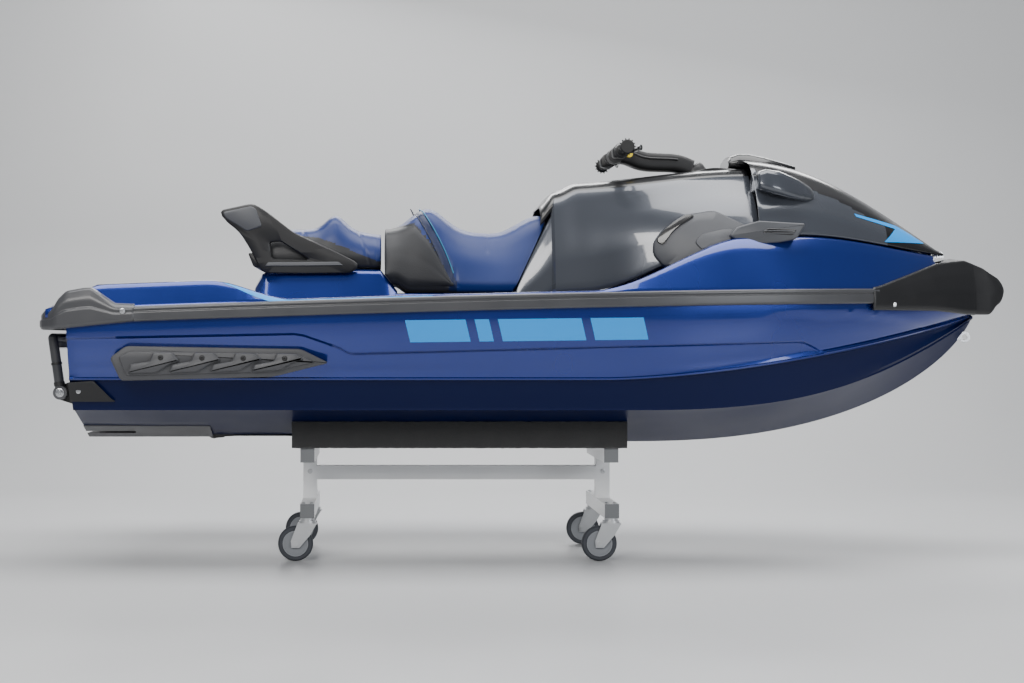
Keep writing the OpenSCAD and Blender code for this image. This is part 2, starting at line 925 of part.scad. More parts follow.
module step_brackets() {
    y1 = step_w / 2 - step_eye_w / 2 - 2;
    color("black")
        for (s = [-1, 1])
            union() {
                hull() {
                    rod_y([step_pivot[0], s * (y1 - 5), step_pivot[2]], 26, 10);
                    block([transom_x - 2, s * (y1 - 5) - 5, step_pivot[2] - 40],
                        [transom_x, s * (y1 - 5) + 5, step_pivot[2] + 40]);
                }
                rod_y([step_pivot[0], s * (y1 + step_eye_w / 2 + 1), step_pivot[2]], step_pin_r, step_eye_w + 8);
            }
}

module boarding_step() {
    tube_r = step_tube_d / 2;
    top = step_h - tube_r;
    color("black")
        translate(step_pivot) rotate([0, -step_lean, 0]) {
            for (s = [-1, 1])
                difference() {
                    union() {
                        translate([0, s * step_w / 2, 0]) cylinder(r = tube_r, h = top);
                        rod_y([0, s * step_w / 2, 0], 24, step_eye_w);
                        translate([0, s * step_w / 2, top]) sphere(r = tube_r, $fn = 32);
                    }
                    rod_y([0, s * step_w / 2, 0], step_pin_r + run_gap, step_w / 2);
                }
            rod_y([0, 0, top], tube_r, step_w);
            block([-tube_r, -step_w / 2 + 30, top - 34], [tube_r - 6, step_w / 2 - 30, top]);
        }
}

// ---- Console, hood and their trim ----

// Steering column: where its axis leaves the console, and its direction
column_base = [598, 0, con_z(598)];
column_dir = [-sin(column_lean), 0, cos(column_lean)];

module on_column() {
    translate(column_base) rotate([0, -column_lean, 0]) children();
}

module console_top() {
    top_y = console_y - 6;
    color("black")
        difference() {
            moulded() difference() {
                loft(xs_con, [
                    for (x = xs_con)
                        both([
                            [0, con_z(x) - core_drop],
                            [console_y + 8, con_z(x) - core_drop],
                            [console_y + 18, con_z(x) - 30],
                            [top_y, con_z(x) - 6],
                            [top_y * 0.6, con_z(x)],
                            [0, con_z(x)]
                        ])
                ]);
                glove_space(0);
                block([glove_x0 - lid_gap, -glove_y - 10 - lid_gap, con_z(glove_x0) - 40],
                    [glove_x1 + 30 + lid_gap, glove_y + 10 + lid_gap, keel_z + 1100]);
                on_column() translate([0, 0, -14]) cylinder(r = 44 + lid_gap, h = 90);
            }
            on_column() cylinder(r = shaft_d / 2 + run_gap, h = 90, center = true);
        }
}

module glovebox_lid() {
    y1 = glove_y + 10;
    knuckle_r = 8;
    xs = [glove_x0, glove_x0 + 60, glove_x1 - 20, glove_x1 + 4];
    color("black")
        difference() {
            moulded() {
                loft(xs, [
                    for (x = xs)
                        both([
                            [0, con_z(x) - 26],
                            [y1, con_z(x) - 26],
                            [y1, con_z(x) - 8],
                            [y1 * 0.8, con_z(x) - 2],
                            [0, con_z(x) + 2]
                        ])
                ]);
                for (s = [-1, 1])
                    hull() {
                        rod_y([glove_hinge[0], s * 50, glove_hinge[2]], knuckle_r, 20);
                        block([glove_x1 - 8, s * 50 - 10, glove_hinge[2] + 1],
                            [glove_x1 - 2, s * 50 + 10, glove_hinge[2] + 8]);
                    }
            }
            rod_y(glove_hinge, hinge_pin_r + run_gap, 200);
        }
}

module lid_hinge_pins() {
    color("silver") {
        difference() {
            union() {
                rod_y(glove_hinge, hinge_pin_r, 136);
                for (s = [-1, 1])
                    block([glove_hinge[0] - 6, s * 72 - 6, con_z(glove_x1) - 70],
                        [glove_hinge[0] + 6, s * 72 + 6, glove_hinge[2] + 5]);
            }
            block([glove_hinge[0] - 40, -100, con_z(glove_x1) - 90],
                [glove_hinge[0] + 40, 100, con_z(glove_x0) - core_drop - 1]);
        }
    }
}

// Hood: a shell over the front storage, hinged at its nose
hood_x0 = con_x1 + lid_gap + 2;
xs_hood = linspace(hood_x0, nose_x - 12, 9);
function hood_t(x) = clamp01((x - hood_x0) / (nose_x - hood_x0));
function hood_base(x) = gun_z(x) + 4;
function hood_top(x) = hood_base(x) + hood_rise * (1 - pow(hood_t(x), 1.55)) + 22;
function hood_y(x) = min(gun_y(x), 420) - 4;

function hood_half(x, inset) = [
    [0, hood_base(x) - (inset > 0 ? 1 : 0)],
    [hood_y(x) - inset, hood_base(x) - (inset > 0 ? 1 : 0)],
    [hood_y(x) * 0.93 - inset, lerp(hood_base(x), hood_top(x), 0.3) - inset * 0.6],
    [hood_y(x) * 0.55, hood_top(x) - 24 - inset],
    [0, hood_top(x) - inset]
];

// The hood's hollow stops short of the hinge at its nose
hood_nose_solid = 90;
function hood_in_x(i) = xs_hood[i] + (i == 0 ? panel_t : i == 8 ? -hood_nose_solid : 0);

module front_lid() {
    knuckle_r = 9;
    knuckle_w = 42;
    color([0.06, 0.06, 0.07])
        difference() {
            moulded() {
                difference() {
                    loft(xs_hood, [for (x = xs_hood) both(hood_half(x, 0))]);
                    loft([for (i = [0:8]) hood_in_x(i)], [for (i = [0:8]) both(hood_half(hood_in_x(i), panel_t))]);
                }
                hull() {
                    rod_y(hood_hinge, knuckle_r, knuckle_w);
                    block([nose_x - 30, -knuckle_w / 2, hood_hinge[2]],
                        [nose_x - 20, knuckle_w / 2, hood_hinge[2] + knuckle_r]);
                }
            }
            rod_y(hood_hinge, hood_pin_r + run_gap, 400);
        }
}

module hood_hinge_pin() {
    color("silver")
        union() {
            hood_hinge_lugs();
            rod_y(hood_hinge, hood_pin_r, 66);
        }
}

// Instrument pod on the hood's rear edge
module gauge_pod() {
    z0 = hood_top(hood_x0 + 60) - 46;
    color([0.03, 0.03, 0.03])
        moulded() difference() {
            loft([hood_x0 - 46, hood_x0 - 20, hood_x0 + 60, hood_x0 + 170], [
                for (s = [[92, 58, 10], [100, 66, 40], [90, 56, 60], [60, 14, 40]])
                    both([
                        [0, z0 - s[2]],
                        [s[0] * 0.9, z0 - s[2]],
                        [s[0], z0 + s[1] * 0.5],
                        [s[0] * 0.7, z0 + s[1]],
                        [0, z0 + s[1]]
                    ])
            ]);
            loft(xs_hood, [for (x = xs_hood) both(hood_half(x, 0))]);
            block([hood_x0 - 60, -200, z0 - 100], [con_x1 + lid_gap, 200, con_z(con_x1) + lid_gap]);
        }
}

// Mirrors: a housing each side, standing on the hood's shoulders
module mirrors() {
    z0 = hood_base(hood_x0) + 150;
    color("slategray")
        moulded() mirrored()
            difference() {
                loft([hood_x0 + 2, hood_x0 + 30, hood_x0 + 120, hood_x0 + 210], [
                    for (s = [[235, 372, 0, 74], [215, 392, -20, 86], [190, 366, -30, 70], [180, 300, -40, 30]])
                        [
                            [s[0], z0 + s[2]],
                            [s[1], z0 + s[2] + 20],
                            [s[1] - 20, z0 + s[3]],
                            [s[0] + 10, z0 + s[3] + 12]
                        ]
                ]);
                loft(xs_hood, [for (x = xs_hood) both(hood_half(x, 0))]);
            }
}

// Side panels over the console core
xs_panel = linspace(con_x0, con_x1 - 4, 8);

function panel_lo(x) = [con_low_y(x) + panel_t + 4, gun_z(x) + 5];
function panel_hi(x) = [console_y + 18 + panel_t, con_z(x) - 34];
function panel_mid(x) = [lerp(panel_lo(x)[0], panel_hi(x)[0], 0.4) + 18, lerp(panel_lo(x)[1], panel_hi(x)[1], 0.5)];

module panel_loft(depth) {
    loft(xs_panel, [
        for (x = xs_panel)
            let (a = panel_lo(x), m = panel_mid(x), b = panel_hi(x))
                [
                    a - [depth, 0],
                    a,
                    m,
                    b,
                    b - [depth, 0],
                    m - [depth + 2, 0]
                ]
    ]);
}

module side_panels() {
    color("slategray") moulded() mirrored() panel_loft(panel_t);
}

// Air intakes on the side panels, with a recessed mouth
intake_pod_x = [400, 490, 610, 735];
intake_pod_out = [6, 62, 66, 30];
intake_pod_top = [0.02, 0.16, 0.2, 0.06];

module side_intakes() {
    color("dimgray")
        moulded() mirrored()
            difference() {
                loft(intake_pod_x, [
                    for (i = [0:3])
                        let (
                            x = intake_pod_x[i],
                            a = panel_lo(x) + [1, 7],
                            m = panel_mid(x) + [1, 0],
                            t = lerp(m, panel_hi(x) + [1, 0], intake_pod_top[i]),
                            out = intake_pod_out[i]
                        )
                            [
                                a,
                                a + [min(out, gun_y(x) - 6 - a[0]), 0],
                                m + [out, 0],
                                t + [out * 0.5, 0],
                                t,
                                m
                            ]
                ]);
                panel_loft(panel_t * 8);
                loft([500, 560, 600], [
                    for (x = [500, 560, 600])
                        let (m = panel_mid(x))
                            [
                                m + [24, -50],
                                m + [200, -50],
                                m + [200, 20],
                                m + [24, 20]
                            ]
                ]);
            }
}

// ---- Seats and grab handle ----

seat_x0 = -548;
seat_x1 = 46;
xs_seat = concat([seat_x0], linspace(-500, 0, 10), [seat_x1]);
function seat_top(x) =
    pedestal_z + seat_rise + bolster_rise * exp(-pow((x + 390) / 92, 2))
    + 64 * ramp(x, -150, seat_x1 - 26) - 40 * ramp(x, seat_x1 - 30, seat_x1 + 20)
    + 10 * (1 - ramp(x, -560, -480));
function seat_z0(x) = pedestal_z + 30 * (1 - ramp(x, rear_x1 + 50, rear_x1 + 110));
function seat_mid(x) = lerp(seat_top_y, seat_top_y + 22, ramp(x, -100, -400));

module driver_seat() {
    color("mediumblue")
        moulded() difference() {
            loft(xs_seat, [
                for (x = xs_seat)
                    let (z0 = seat_z0(x), z1 = seat_top(x), w = seat_mid(x))
                        both([
                            [0, z0 + seat_gap],
                            [pedestal_y - 34, z0 + seat_gap],
                            [pedestal_y - 30, z0 + 20],
                            [w + 46, lerp(z0, z1, 0.55)],
                            [w + 14, z1 - 46],
                            [w * 0.8, z1 - 12],
                            [0, z1]
                        ])
            ]);
            console_toe(pedestal_y, seat_gap);
            rear_pedestal();
        }
}

// Knee pads over the rear half of the driver's seat sides
pad_t = 14;

module knee_pads() {
    xs = [for (x = xs_seat) if (x > seat_x0 - 1 && x < -290) x];
    color([0.15, 0.15, 0.17])
        moulded() mirrored()
            loft(xs, [
                for (x = xs)
                    let (
                        z0 = seat_z0(x),
                        z1 = seat_top(x),
                        w = seat_mid(x),
                        up = lerp(0.95, 0.2, ramp(x, seat_x0 - 40, -270)),
                        low = [pedestal_y - 30, z0 + 20],
                        mid = [w + 46, lerp(z0, z1, 0.55)]
                    )
                        [
                            low + [1.5, 0],
                            low + [pad_t, 0],
                            lerp(low, mid, up) + [pad_t, 0],
                            lerp(low, mid, up) + [1.5, 6]
                        ]
            ]);
}

pax_x0 = -985;
pax_x1 = seat_x0 - 8;
xs_pax = linspace(pax_x0, pax_x1, 9);
function pax_top(x) =
    rear_pedestal_z + 150 + 50 * exp(-pow((x + 724) / 48, 2)) - 18 * ramp(x, -700, pax_x1)
    - 30 * (1 - ramp(x, pax_x0, pax_x0 + 60));

module passenger_seat() {
    color("mediumblue")
        moulded() difference() {
            loft(xs_pax, [
                for (x = xs_pax)
                    let (z1 = pax_top(x))
                        both([
                            [0, rear_pedestal_z + seat_gap],
                            [168, rear_pedestal_z + seat_gap],
                            [182, rear_pedestal_z + 60],
                            [160, z1 - 30],
                            [120, z1 - 6],
                            [0, z1]
                        ])
            ]);
            rear_pedestal();
        }
}

// Grab handle: two arms beside the passenger seat, joined by a grip behind it
module grab_handle() {
    x0 = stern_x + 594;
    z0 = rear_pedestal_z;
    arm_in = 186;
    arm_out = 214;
    color("black")
        difference() {
            union() {
                mirrored()
                    plate_xz([
                        [x0, z0 + 208],
                        [x0 + 14, z0 + 172],
                        [x0 + 96, z0 + 94],
                        [x0 + 150, z0 - 20],
                        [x0 + 470, z0 - 20],
                        [x0 + 500, z0 + 20],
                        [x0 + 260, z0 + 128],
                        [x0 + 250, z0 + 196],
                        [x0 + 140, z0 + 236]
                    ], arm_in, arm_out);
                plate_xz([
                    [x0, z0 + 208],
                    [x0 + 14, z0 + 172],
                    [x0 + 66, z0 + 150],
                    [x0 + 120, z0 + 190],
                    [x0 + 110, z0 + 232]
                ], -arm_out, arm_out);
                plate_xz([
                    [x0 + 96, z0 + 60],
                    [x0 + 120, z0 + 4],
                    [x0 + 142, z0 + 4],
                    [x0 + 142, z0 + 60]
                ], -arm_out, arm_out);
            }
            mirrored()
                plate_xz([
                    [x0 + 190, z0 + 30],
                    [x0 + 330, z0 + 30],
                    [x0 + 210, z0 + 104],
                    [x0 + 176, z0 + 100]
                ], arm_in - 5, arm_out + 5);
            rear_pedestal();
        }
}

// ---- Fittings ----

bow_eye_x = stem_x - 20;

module bow_eye() {
    z = keel(stem_x - 60) + 30;
    color("silver")
        difference() {
            union() {
                rod_y([bow_eye_x, 0, z], bow_eye_d / 2 + 9, 14);
                block([bow_eye_x - 60, -7, z - 9], [bow_eye_x, 7, z + 9]);
            }
            rod_y([bow_eye_x, 0, z], bow_eye_d / 2, 40);
            hull_loft();
        }
}

stern_eye_y = 330;
stern_eye_z = keel_z + 375;

module stern_eyes() {
    color("silver")
        mirrored()
            difference() {
                union() {
                    rod_y([transom_x - 24, stern_eye_y, stern_eye_z], stern_eye_d / 2 + 8, 12);
                    block([transom_x - 16, stern_eye_y - 6, stern_eye_z - 14],
                        [transom_x, stern_eye_y + 6, stern_eye_z + 14]);
                    block([transom_x - 4, stern_eye_y - 22, stern_eye_z - 30],
                        [transom_x, stern_eye_y + 22, stern_eye_z + 30]);
                }
                rod_y([transom_x - 24, stern_eye_y, stern_eye_z], stern_eye_d / 2, 40);
            }
}

// ---- Handlebar ----

bar_c = [300, 0, keel_z + 1047];
neck_r = 24;

module handlebar() {
    bar_r = 13;
    color("black")
        difference() {
            union() {
                on_column() translate([0, 0, -40]) cylinder(r = shaft_d / 2, h = 50);
                on_column() translate([0, 0, -8]) cylinder(r = 44, h = 34);
                hull() {
                    on_column() translate([0, 0, 24]) cylinder(r = 34, h = 14, $fn = 32);
                    translate(bar_c + [90, 0, -34]) rotate([90, 0, 0])
                        cylinder(r = 30, h = 76, center = true, $fn = 32);
                }
                hull() {
                    translate(bar_c + [90, 0, -34]) rotate([90, 0, 0])
                        cylinder(r = 30, h = 76, center = true, $fn = 32);
                    rod_y(bar_c, 28, 92);
                }
                rod_y(bar_c, bar_r, 2 * (bar_y - 8));
            }
        }
}

module grips() {
    color([0.1, 0.1, 0.1])
        mirrored()
            difference() {
                union() {
                    rod_y(bar_c + [0, bar_y - 66, 0], grip_d / 2, 132);
                    rod_y(bar_c + [0, bar_y - 4, 0], grip_d / 2 + 6, 8);
                }
                rod_y(bar_c + [0, bar_y - 70, 0], 13, 126);
            }
}

// Lever blocks and levers
module control_levers() {
    color("black")
        mirrored()
            difference() {
                union() {
                    rod_y(bar_c + [0, bar_y - 158, 0], 25, 44);
                    hull() {
                        rod_y(bar_c + [34, bar_y - 160, 6], 9, 30);
                        rod_y(bar_c + [46, bar_y - 60, 2], 7, 20);
                    }
                    block(bar_c + [10, bar_y - 172, -4], bar_c + [36, bar_y - 148, 12]);
                }
                rod_y(bar_c + [0, bar_y - 158, 0], 13, 60);
            }
}

// ---- Cradle ----

trestle_mid = -282;
trestle_x = [trestle_mid - trestle_pitch / 2, trestle_mid + trestle_pitch / 2];
swivel_plate_z = wheel_d + 20;
foot_z = swivel_plate_z + 8;
crossbar_z = keel_z - 10 - tube;
caster_y = foot_len / 2 - caster_inset;

module square_tube_y(x, z, len) {
    difference() {
        block([x - tube / 2, -len / 2, z], [x + tube / 2, len / 2, z + tube]);
        block([x - tube / 2 + tube_wall, -len / 2 - 1, z + tube_wall],
            [x + tube / 2 - tube_wall, len / 2 + 1, z + tube - tube_wall]);
    }
}

module cradle_feet() {
    color("white")
        for (x = trestle_x)
            square_tube_y(x, foot_z, foot_len);
}

module cradle_crossbars() {
    color("white")
        for (x = trestle_x)
            square_tube_y(x, crossbar_z, bar_len);
}

module cradle_spine() {
    color("white")
        difference() {
            union() {
                for (x = trestle_x)
                    block([x - tube / 2, -tube / 2, foot_z + tube], [x + tube / 2, tube / 2, crossbar_z]);
                block([trestle_x[0], -tube / 2, beam_z - tube / 2],
                    [trestle_x[1], tube / 2, beam_z + tube / 2]);
            }
            for (x = trestle_x)
                block([x - tube / 2 + tube_wall, -tube / 2 + tube_wall, foot_z + tube - 1],
                    [x + tube / 2 - tube_wall, tube / 2 - tube_wall, crossbar_z + 1]);
            block([trestle_x[0] + tube / 2 - eps, -tube / 2 + tube_wall, beam_z - tube / 2 + tube_wall],
                [trestle_x[1] - tube / 2 + eps, tube / 2 - tube_wall, beam_z + tube / 2 - tube_wall]);
        }
}

// Carpeted bunks whose tops follow the slope of the hull
module bunks() {
    out = bunk_in + bunk_w;
    low = crossbar_z + tube;
    color([0.08, 0.08, 0.08])
        mirrored()
            translate([trestle_mid - bunk_len / 2, 0, 0]) rotate([90, 0, 90])
                linear_extrude(bunk_len)
                    polygon([
                        [bunk_in, low],
                        [out, low],
                        [out, keel_z + out * bottom_slope],
                        [bunk_in, keel_z + bunk_in * bottom_slope]
                    ]);
}

module end_caps() {
    color("gray")
        mirrored()
            for (x = trestle_x) {
                block([x - tube / 2, foot_len / 2, foot_z], [x + tube / 2, foot_len / 2 + cap_t, foot_z + tube]);
                block([x - tube / 2, bar_len / 2, crossbar_z],
                    [x + tube / 2, bar_len / 2 + cap_t, crossbar_z + tube]);
            }
}

// ---- Casters ----

fork_gap = 3;

module caster_fork(place) {
    axle_z = wheel_d / 2;
    inner = wheel_w / 2 + fork_gap;
    leg_top = swivel_plate_z - 10;
    color("silver")
        translate(place)
            union() {
                translate([0, 0, swivel_plate_z - 2]) cylinder(r = 24, h = 10);
                translate([0, 0, swivel_plate_z - 10]) cylinder(r = 30, h = 8.5);
                block([-34, -inner - fork_t, leg_top - fork_t], [34, inner + fork_t, leg_top]);
                for (s = [-1, 1])
                    plate_xz([
                        [34, leg_top],
                        [-34, leg_top],
                        [-trail - 16, axle_z + 10],
                        [-trail - 14, axle_z - 14],
                        [-trail + 14, axle_z - 14],
                        [10, axle_z + 30]
                    ], s > 0 ? inner : -inner - fork_t, s > 0 ? inner + fork_t : -inner);
                rod_y([-trail, 0, axle_z], axle_d / 2, (inner + fork_t + 5) * 2);
                for (s = [-1, 1])
                    rod_y([-trail, s * (inner + fork_t + 3), axle_z], axle_d / 2 + 4, 6);
            }
}

module caster_wheel(place) {
    axle_z = wheel_d / 2;
    color([0.18, 0.18, 0.2])
        translate(place)
            difference() {
                union() {
                    rod_y([-trail, 0, axle_z], wheel_d / 2 - 6, wheel_w);
                    rod_y([-trail, 0, axle_z], wheel_d / 2, wheel_w - 10);
                }
                for (s = [-1, 1])
                    translate([-trail, s * wheel_w / 2, axle_z]) rotate([90, 0, 0])
                        difference() {
                            cylinder(r = wheel_d / 2 - 16, h = 12, center = true);
                            cylinder(r = axle_d / 2 + 10, h = 14, center = true);
                        }
                rod_y([-trail, 0, axle_z], axle_d / 2 + run_gap, wheel_w * 2);
            }
}

hull_shell();  // hull
deck();
rub_rails();
bow_bumper();
stern_bumper();
stern_corner_caps();
sponsons();
ride_plate();
intake_grate();
pump_housing();
impeller();
steering_nozzle();
reverse_bucket();
step_brackets();
boarding_step();
storage_bin();
console_top();
side_panels();
side_intakes();
glovebox_lid();
lid_hinge_pins();
front_lid();
hood_hinge_pin();
gauge_pod();
mirrors();
driver_seat();
knee_pads();
passenger_seat();
grab_handle();
deck_mats();
cargo_sockets();
engine_block();
bow_eye();
stern_eyes();
handlebar();
grips();
control_levers();
cradle_spine();
cradle_feet();
cradle_crossbars();
bunks();
end_caps();
caster_fork([trestle_x[0], caster_y, 0]);  // fork_rear_port
caster_fork([trestle_x[0], -caster_y, 0]);  // fork_rear_starboard
caster_fork([trestle_x[1], caster_y, 0]);  // fork_front_port
caster_fork([trestle_x[1], -caster_y, 0]);  // fork_front_starboard
caster_wheel([trestle_x[0], caster_y, 0]);  // wheel_rear_port
caster_wheel([trestle_x[0], -caster_y, 0]);  // wheel_rear_starboard
caster_wheel([trestle_x[1], caster_y, 0]);  // wheel_front_port
caster_wheel([trestle_x[1], -caster_y, 0]);  // wheel_front_starboard
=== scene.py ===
import math
import bmesh
import bpy
import numpy as np
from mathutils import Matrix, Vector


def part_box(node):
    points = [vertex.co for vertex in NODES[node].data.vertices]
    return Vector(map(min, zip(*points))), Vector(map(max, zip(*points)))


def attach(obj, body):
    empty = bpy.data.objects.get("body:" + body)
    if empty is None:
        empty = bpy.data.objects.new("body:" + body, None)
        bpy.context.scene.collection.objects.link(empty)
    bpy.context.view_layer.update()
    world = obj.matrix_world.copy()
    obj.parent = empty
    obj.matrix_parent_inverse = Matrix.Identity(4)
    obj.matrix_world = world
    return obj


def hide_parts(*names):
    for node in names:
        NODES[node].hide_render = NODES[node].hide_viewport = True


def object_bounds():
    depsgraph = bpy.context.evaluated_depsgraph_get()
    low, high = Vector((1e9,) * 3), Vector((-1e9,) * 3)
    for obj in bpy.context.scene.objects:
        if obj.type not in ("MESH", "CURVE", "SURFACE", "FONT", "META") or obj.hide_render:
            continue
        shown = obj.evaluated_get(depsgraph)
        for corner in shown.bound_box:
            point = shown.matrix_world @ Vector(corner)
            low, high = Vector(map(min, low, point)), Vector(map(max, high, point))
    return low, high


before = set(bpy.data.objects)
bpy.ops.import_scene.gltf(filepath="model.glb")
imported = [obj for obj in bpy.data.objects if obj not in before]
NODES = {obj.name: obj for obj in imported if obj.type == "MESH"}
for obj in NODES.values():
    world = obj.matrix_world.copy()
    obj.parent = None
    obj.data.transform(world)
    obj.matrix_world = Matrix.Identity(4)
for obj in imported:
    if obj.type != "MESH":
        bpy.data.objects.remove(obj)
CAD_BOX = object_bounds()

# ---------------------------------------------------------------- camera
cam_data = bpy.data.cameras.new("camera")
cam_data.lens = 62.09
cam_data.sensor_width = 36.0
cam_data.shift_x = 0.129
cam_data.shift_y = -0.0015
camera = bpy.data.objects.new("camera", cam_data)
camera.location = (-0.5625, -6.5, 0.781)
camera.rotation_euler = (math.pi / 2, 0, 0)
bpy.context.scene.collection.objects.link(camera)
bpy.context.scene.camera = camera


# ---------------------------------------------------------------- lines of the craft, in millimetres
HALF_BEAM = 627.5
STERN_X, BOW_X = (round(float(corner[0]) * 1000, 1) for corner in CAD_BOX)
WIDE_X, LEVEL_X, STEM_X = -300.0, 350.0, 1607.5
DECK_AFT_X, TRANSOM_X, KEEL_Z = -1689.5, -1617.5, 408.0
PEDESTAL_Y = 232.0
CON_X0, CON_X1 = 60.0, 742.0
HOOD_X0, NOSE_X = 750.0, 1489.5
PUMP_Z = 575.0


def ramp(x, a, b):
    """Smooth step: 0 before a, 1 after b, three t squared less two t cubed between."""
    t = np.clip((np.asarray(x, float) - a) / (b - a), 0, 1)
    return t * t * (3 - 2 * t)


def lerp(a, b, t):
    """Straight mix of a and b."""
    return a + (b - a) * t


def table(x, pairs):
    """Straight lines between (x, value) pairs."""
    p = np.array(pairs, float)
    return np.interp(x, p[:, 0], p[:, 1])


def curve(x, pairs, reach=30.0):
    """The lines of table(), eased by averaging them over a short reach."""
    offs = np.linspace(-reach, reach, 9)
    return sum(table(np.asarray(x, float) + o, pairs) for o in offs) / len(offs)


def rail_y(x):
    """Half breadth: a power curve to the bow, a parabola to the stern."""
    x = np.asarray(x, float)
    fore = 1 - np.clip((x - WIDE_X) / (BOW_X - WIDE_X), 0, 1) ** 2.8
    aft = np.clip((WIDE_X - x) / (WIDE_X - STERN_X), 0, 1) ** 2
    return HALF_BEAM * fore - 55 * aft


def side_y(x):
    return rail_y(x) - 22


def rail_z(x):
    return 911 + 0.0245 * x - 0.0000045 * x * x


def keel(x):
    """Level to x 350, then a rising curve to the stem."""
    t = np.clip((np.asarray(x, float) - LEVEL_X) / (STEM_X + 25 - LEVEL_X), 0, 1)
    return KEEL_Z + 513 * (1 - (1 - t ** 2.4) ** 0.62)


def chine_t(x):
    return np.clip((np.asarray(x, float) - 200) / (STEM_X + 20 - 200), 0, 1)


def chine_z(x):
    return KEEL_Z + 242 + 220 * chine_t(x) ** 1.6


def chine_w(x):
    return np.minimum(520 * (1 - chine_t(x) ** 2.2), side_y(x) * 0.9)


def strake_w(x):
    return 430 / 520 * chine_w(x)


def strake_z(x):
    return lerp(KEEL_Z + 0.318 * 430, lerp(keel(x), chine_z(x), 0.72), ramp(x, LEVEL_X, STEM_X))


def gun_z(x):
    return (rail_z(x) + 32 + 75 * (1 - ramp(x, -1150, -850))
            + 180 * ramp(x, 150, 720) - 75 * ramp(x, 900, STEM_X))


def gun_y(x):
    return np.maximum(side_y(x) - 12 - 0.48 * np.maximum(0, gun_z(x) - rail_z(x) - 32), 30)


PLATFORM_Z = float(gun_z(-1400.0)) - 62
PEDESTAL_Z = float(gun_z(-300.0)) + 12
REAR_Z = PEDESTAL_Z + 88
WELL_Z = PLATFORM_Z - 147


def floor_z(x):
    x = np.asarray(x, float)
    return np.where(x < -200, lerp(PLATFORM_Z, WELL_Z, ramp(x, -1040, -820)),
                    lerp(WELL_Z, WELL_Z + 120, ramp(x, 380, 560)))


def well_out(x):
    return side_y(x) - 78 - 0.35 * np.maximum(0, gun_z(x) - rail_z(x) - 32)


def con_z(x):
    return KEEL_Z + 935 + 55 * ramp(x, CON_X0, CON_X1) - 30 * (1 - ramp(x, CON_X0, CON_X0 + 90))


def con_low_y(x):
    return lerp(PEDESTAL_Y, float(gun_y(CON_X1)) - 60, ramp(x, 250, CON_X1))


def hood_t(x):
    return np.clip((np.asarray(x, float) - HOOD_X0) / (NOSE_X - HOOD_X0), 0, 1)


def hood_base(x):
    return gun_z(x) + 4


def hood_top(x):
    return hood_base(x) + 272 * (1 - hood_t(x) ** 1.55) + 22


def hood_y(x):
    return np.minimum(gun_y(x), 420) - 4


def bin_y(x):
    return np.minimum(gun_y(x) - 62, 300)


def seat_top(x):
    return (PEDESTAL_Z + 226 + 88 * np.exp(-((x + 390) / 92) ** 2) + 64 * ramp(x, -150, 20)
            - 40 * ramp(x, 16, 66) + 10 * (1 - ramp(x, -560, -480)))


def seat_z0(x):
    return PEDESTAL_Z + 30 * (1 - ramp(x, -510, -450))


def seat_mid(x):
    return lerp(128, 150, ramp(x, -100, -400) if np.ndim(x) == 0 else 1 - ramp(x, -400, -100))


def pax_top(x):
    return (REAR_Z + 150 + 50 * np.exp(-((x + 724) / 48) ** 2) - 18 * ramp(x, -700, -556)
            - 30 * (1 - ramp(x, -985, -925)))


# ---------------------------------------------------------------- mesh tools
def rounded(keys, radius, n=5, closed=False):
    """Outlines with eased corners: each corner becomes a quadratic curve whose control is the
    corner and whose ends lie on its two edges. keys has shape (stations, corners, 2 or 3)."""
    k = np.asarray(keys, float)
    before, after = np.roll(k, 1, 1) - k, np.roll(k, -1, 1) - k
    la = np.maximum(np.linalg.norm(before, axis=2, keepdims=True), 1e-6)
    lb = np.maximum(np.linalg.norm(after, axis=2, keepdims=True), 1e-6)
    r = np.broadcast_to(np.asarray(radius, float), k.shape[:2])[..., None]
    r = np.minimum(r, 0.47 * np.minimum(la, lb))
    pa, pb = (k + before / la * r)[:, :, None], (k + after / lb * r)[:, :, None]
    t = np.linspace(0, 1, n)[None, None, :, None]
    pts = (1 - t) ** 2 * pa + 2 * t * (1 - t) * k[:, :, None] + t ** 2 * pb
    if closed:
        return pts.reshape(len(k), -1, k.shape[2])
    mid = pts[:, 1:-1].reshape(len(k), -1, k.shape[2])
    return np.concatenate([k[:, :1], mid, k[:, -1:]], axis=1)


def corners(xs, *pairs):
    """Outline corners for every station: each pair is (out, up), a number or one value a station."""
    return np.stack([np.stack([a + 0 * xs, b + 0 * xs], 1) for a, b in pairs], 1)


def face_middles(pts):
    """The middle of each face of a grid of points."""
    return 0.25 * (pts[:-1, :-1] + pts[1:, :-1] + pts[:-1, 1:] + pts[1:, 1:])


def halves(port):
    """A whole section from its port half, which runs from the middle outwards: the starboard
    copy comes first, from outside in."""
    star = port[:, ::-1] * np.array([-1.0, 1.0])
    return np.concatenate([star, port[:, 1:]], axis=1)


def at_x(xs, yz):
    """Adds each station's x to its (y, z) outline."""
    x = np.broadcast_to(np.asarray(xs, float)[:, None, None], yz.shape[:2] + (1,))
    return np.concatenate([x, yz], axis=2)


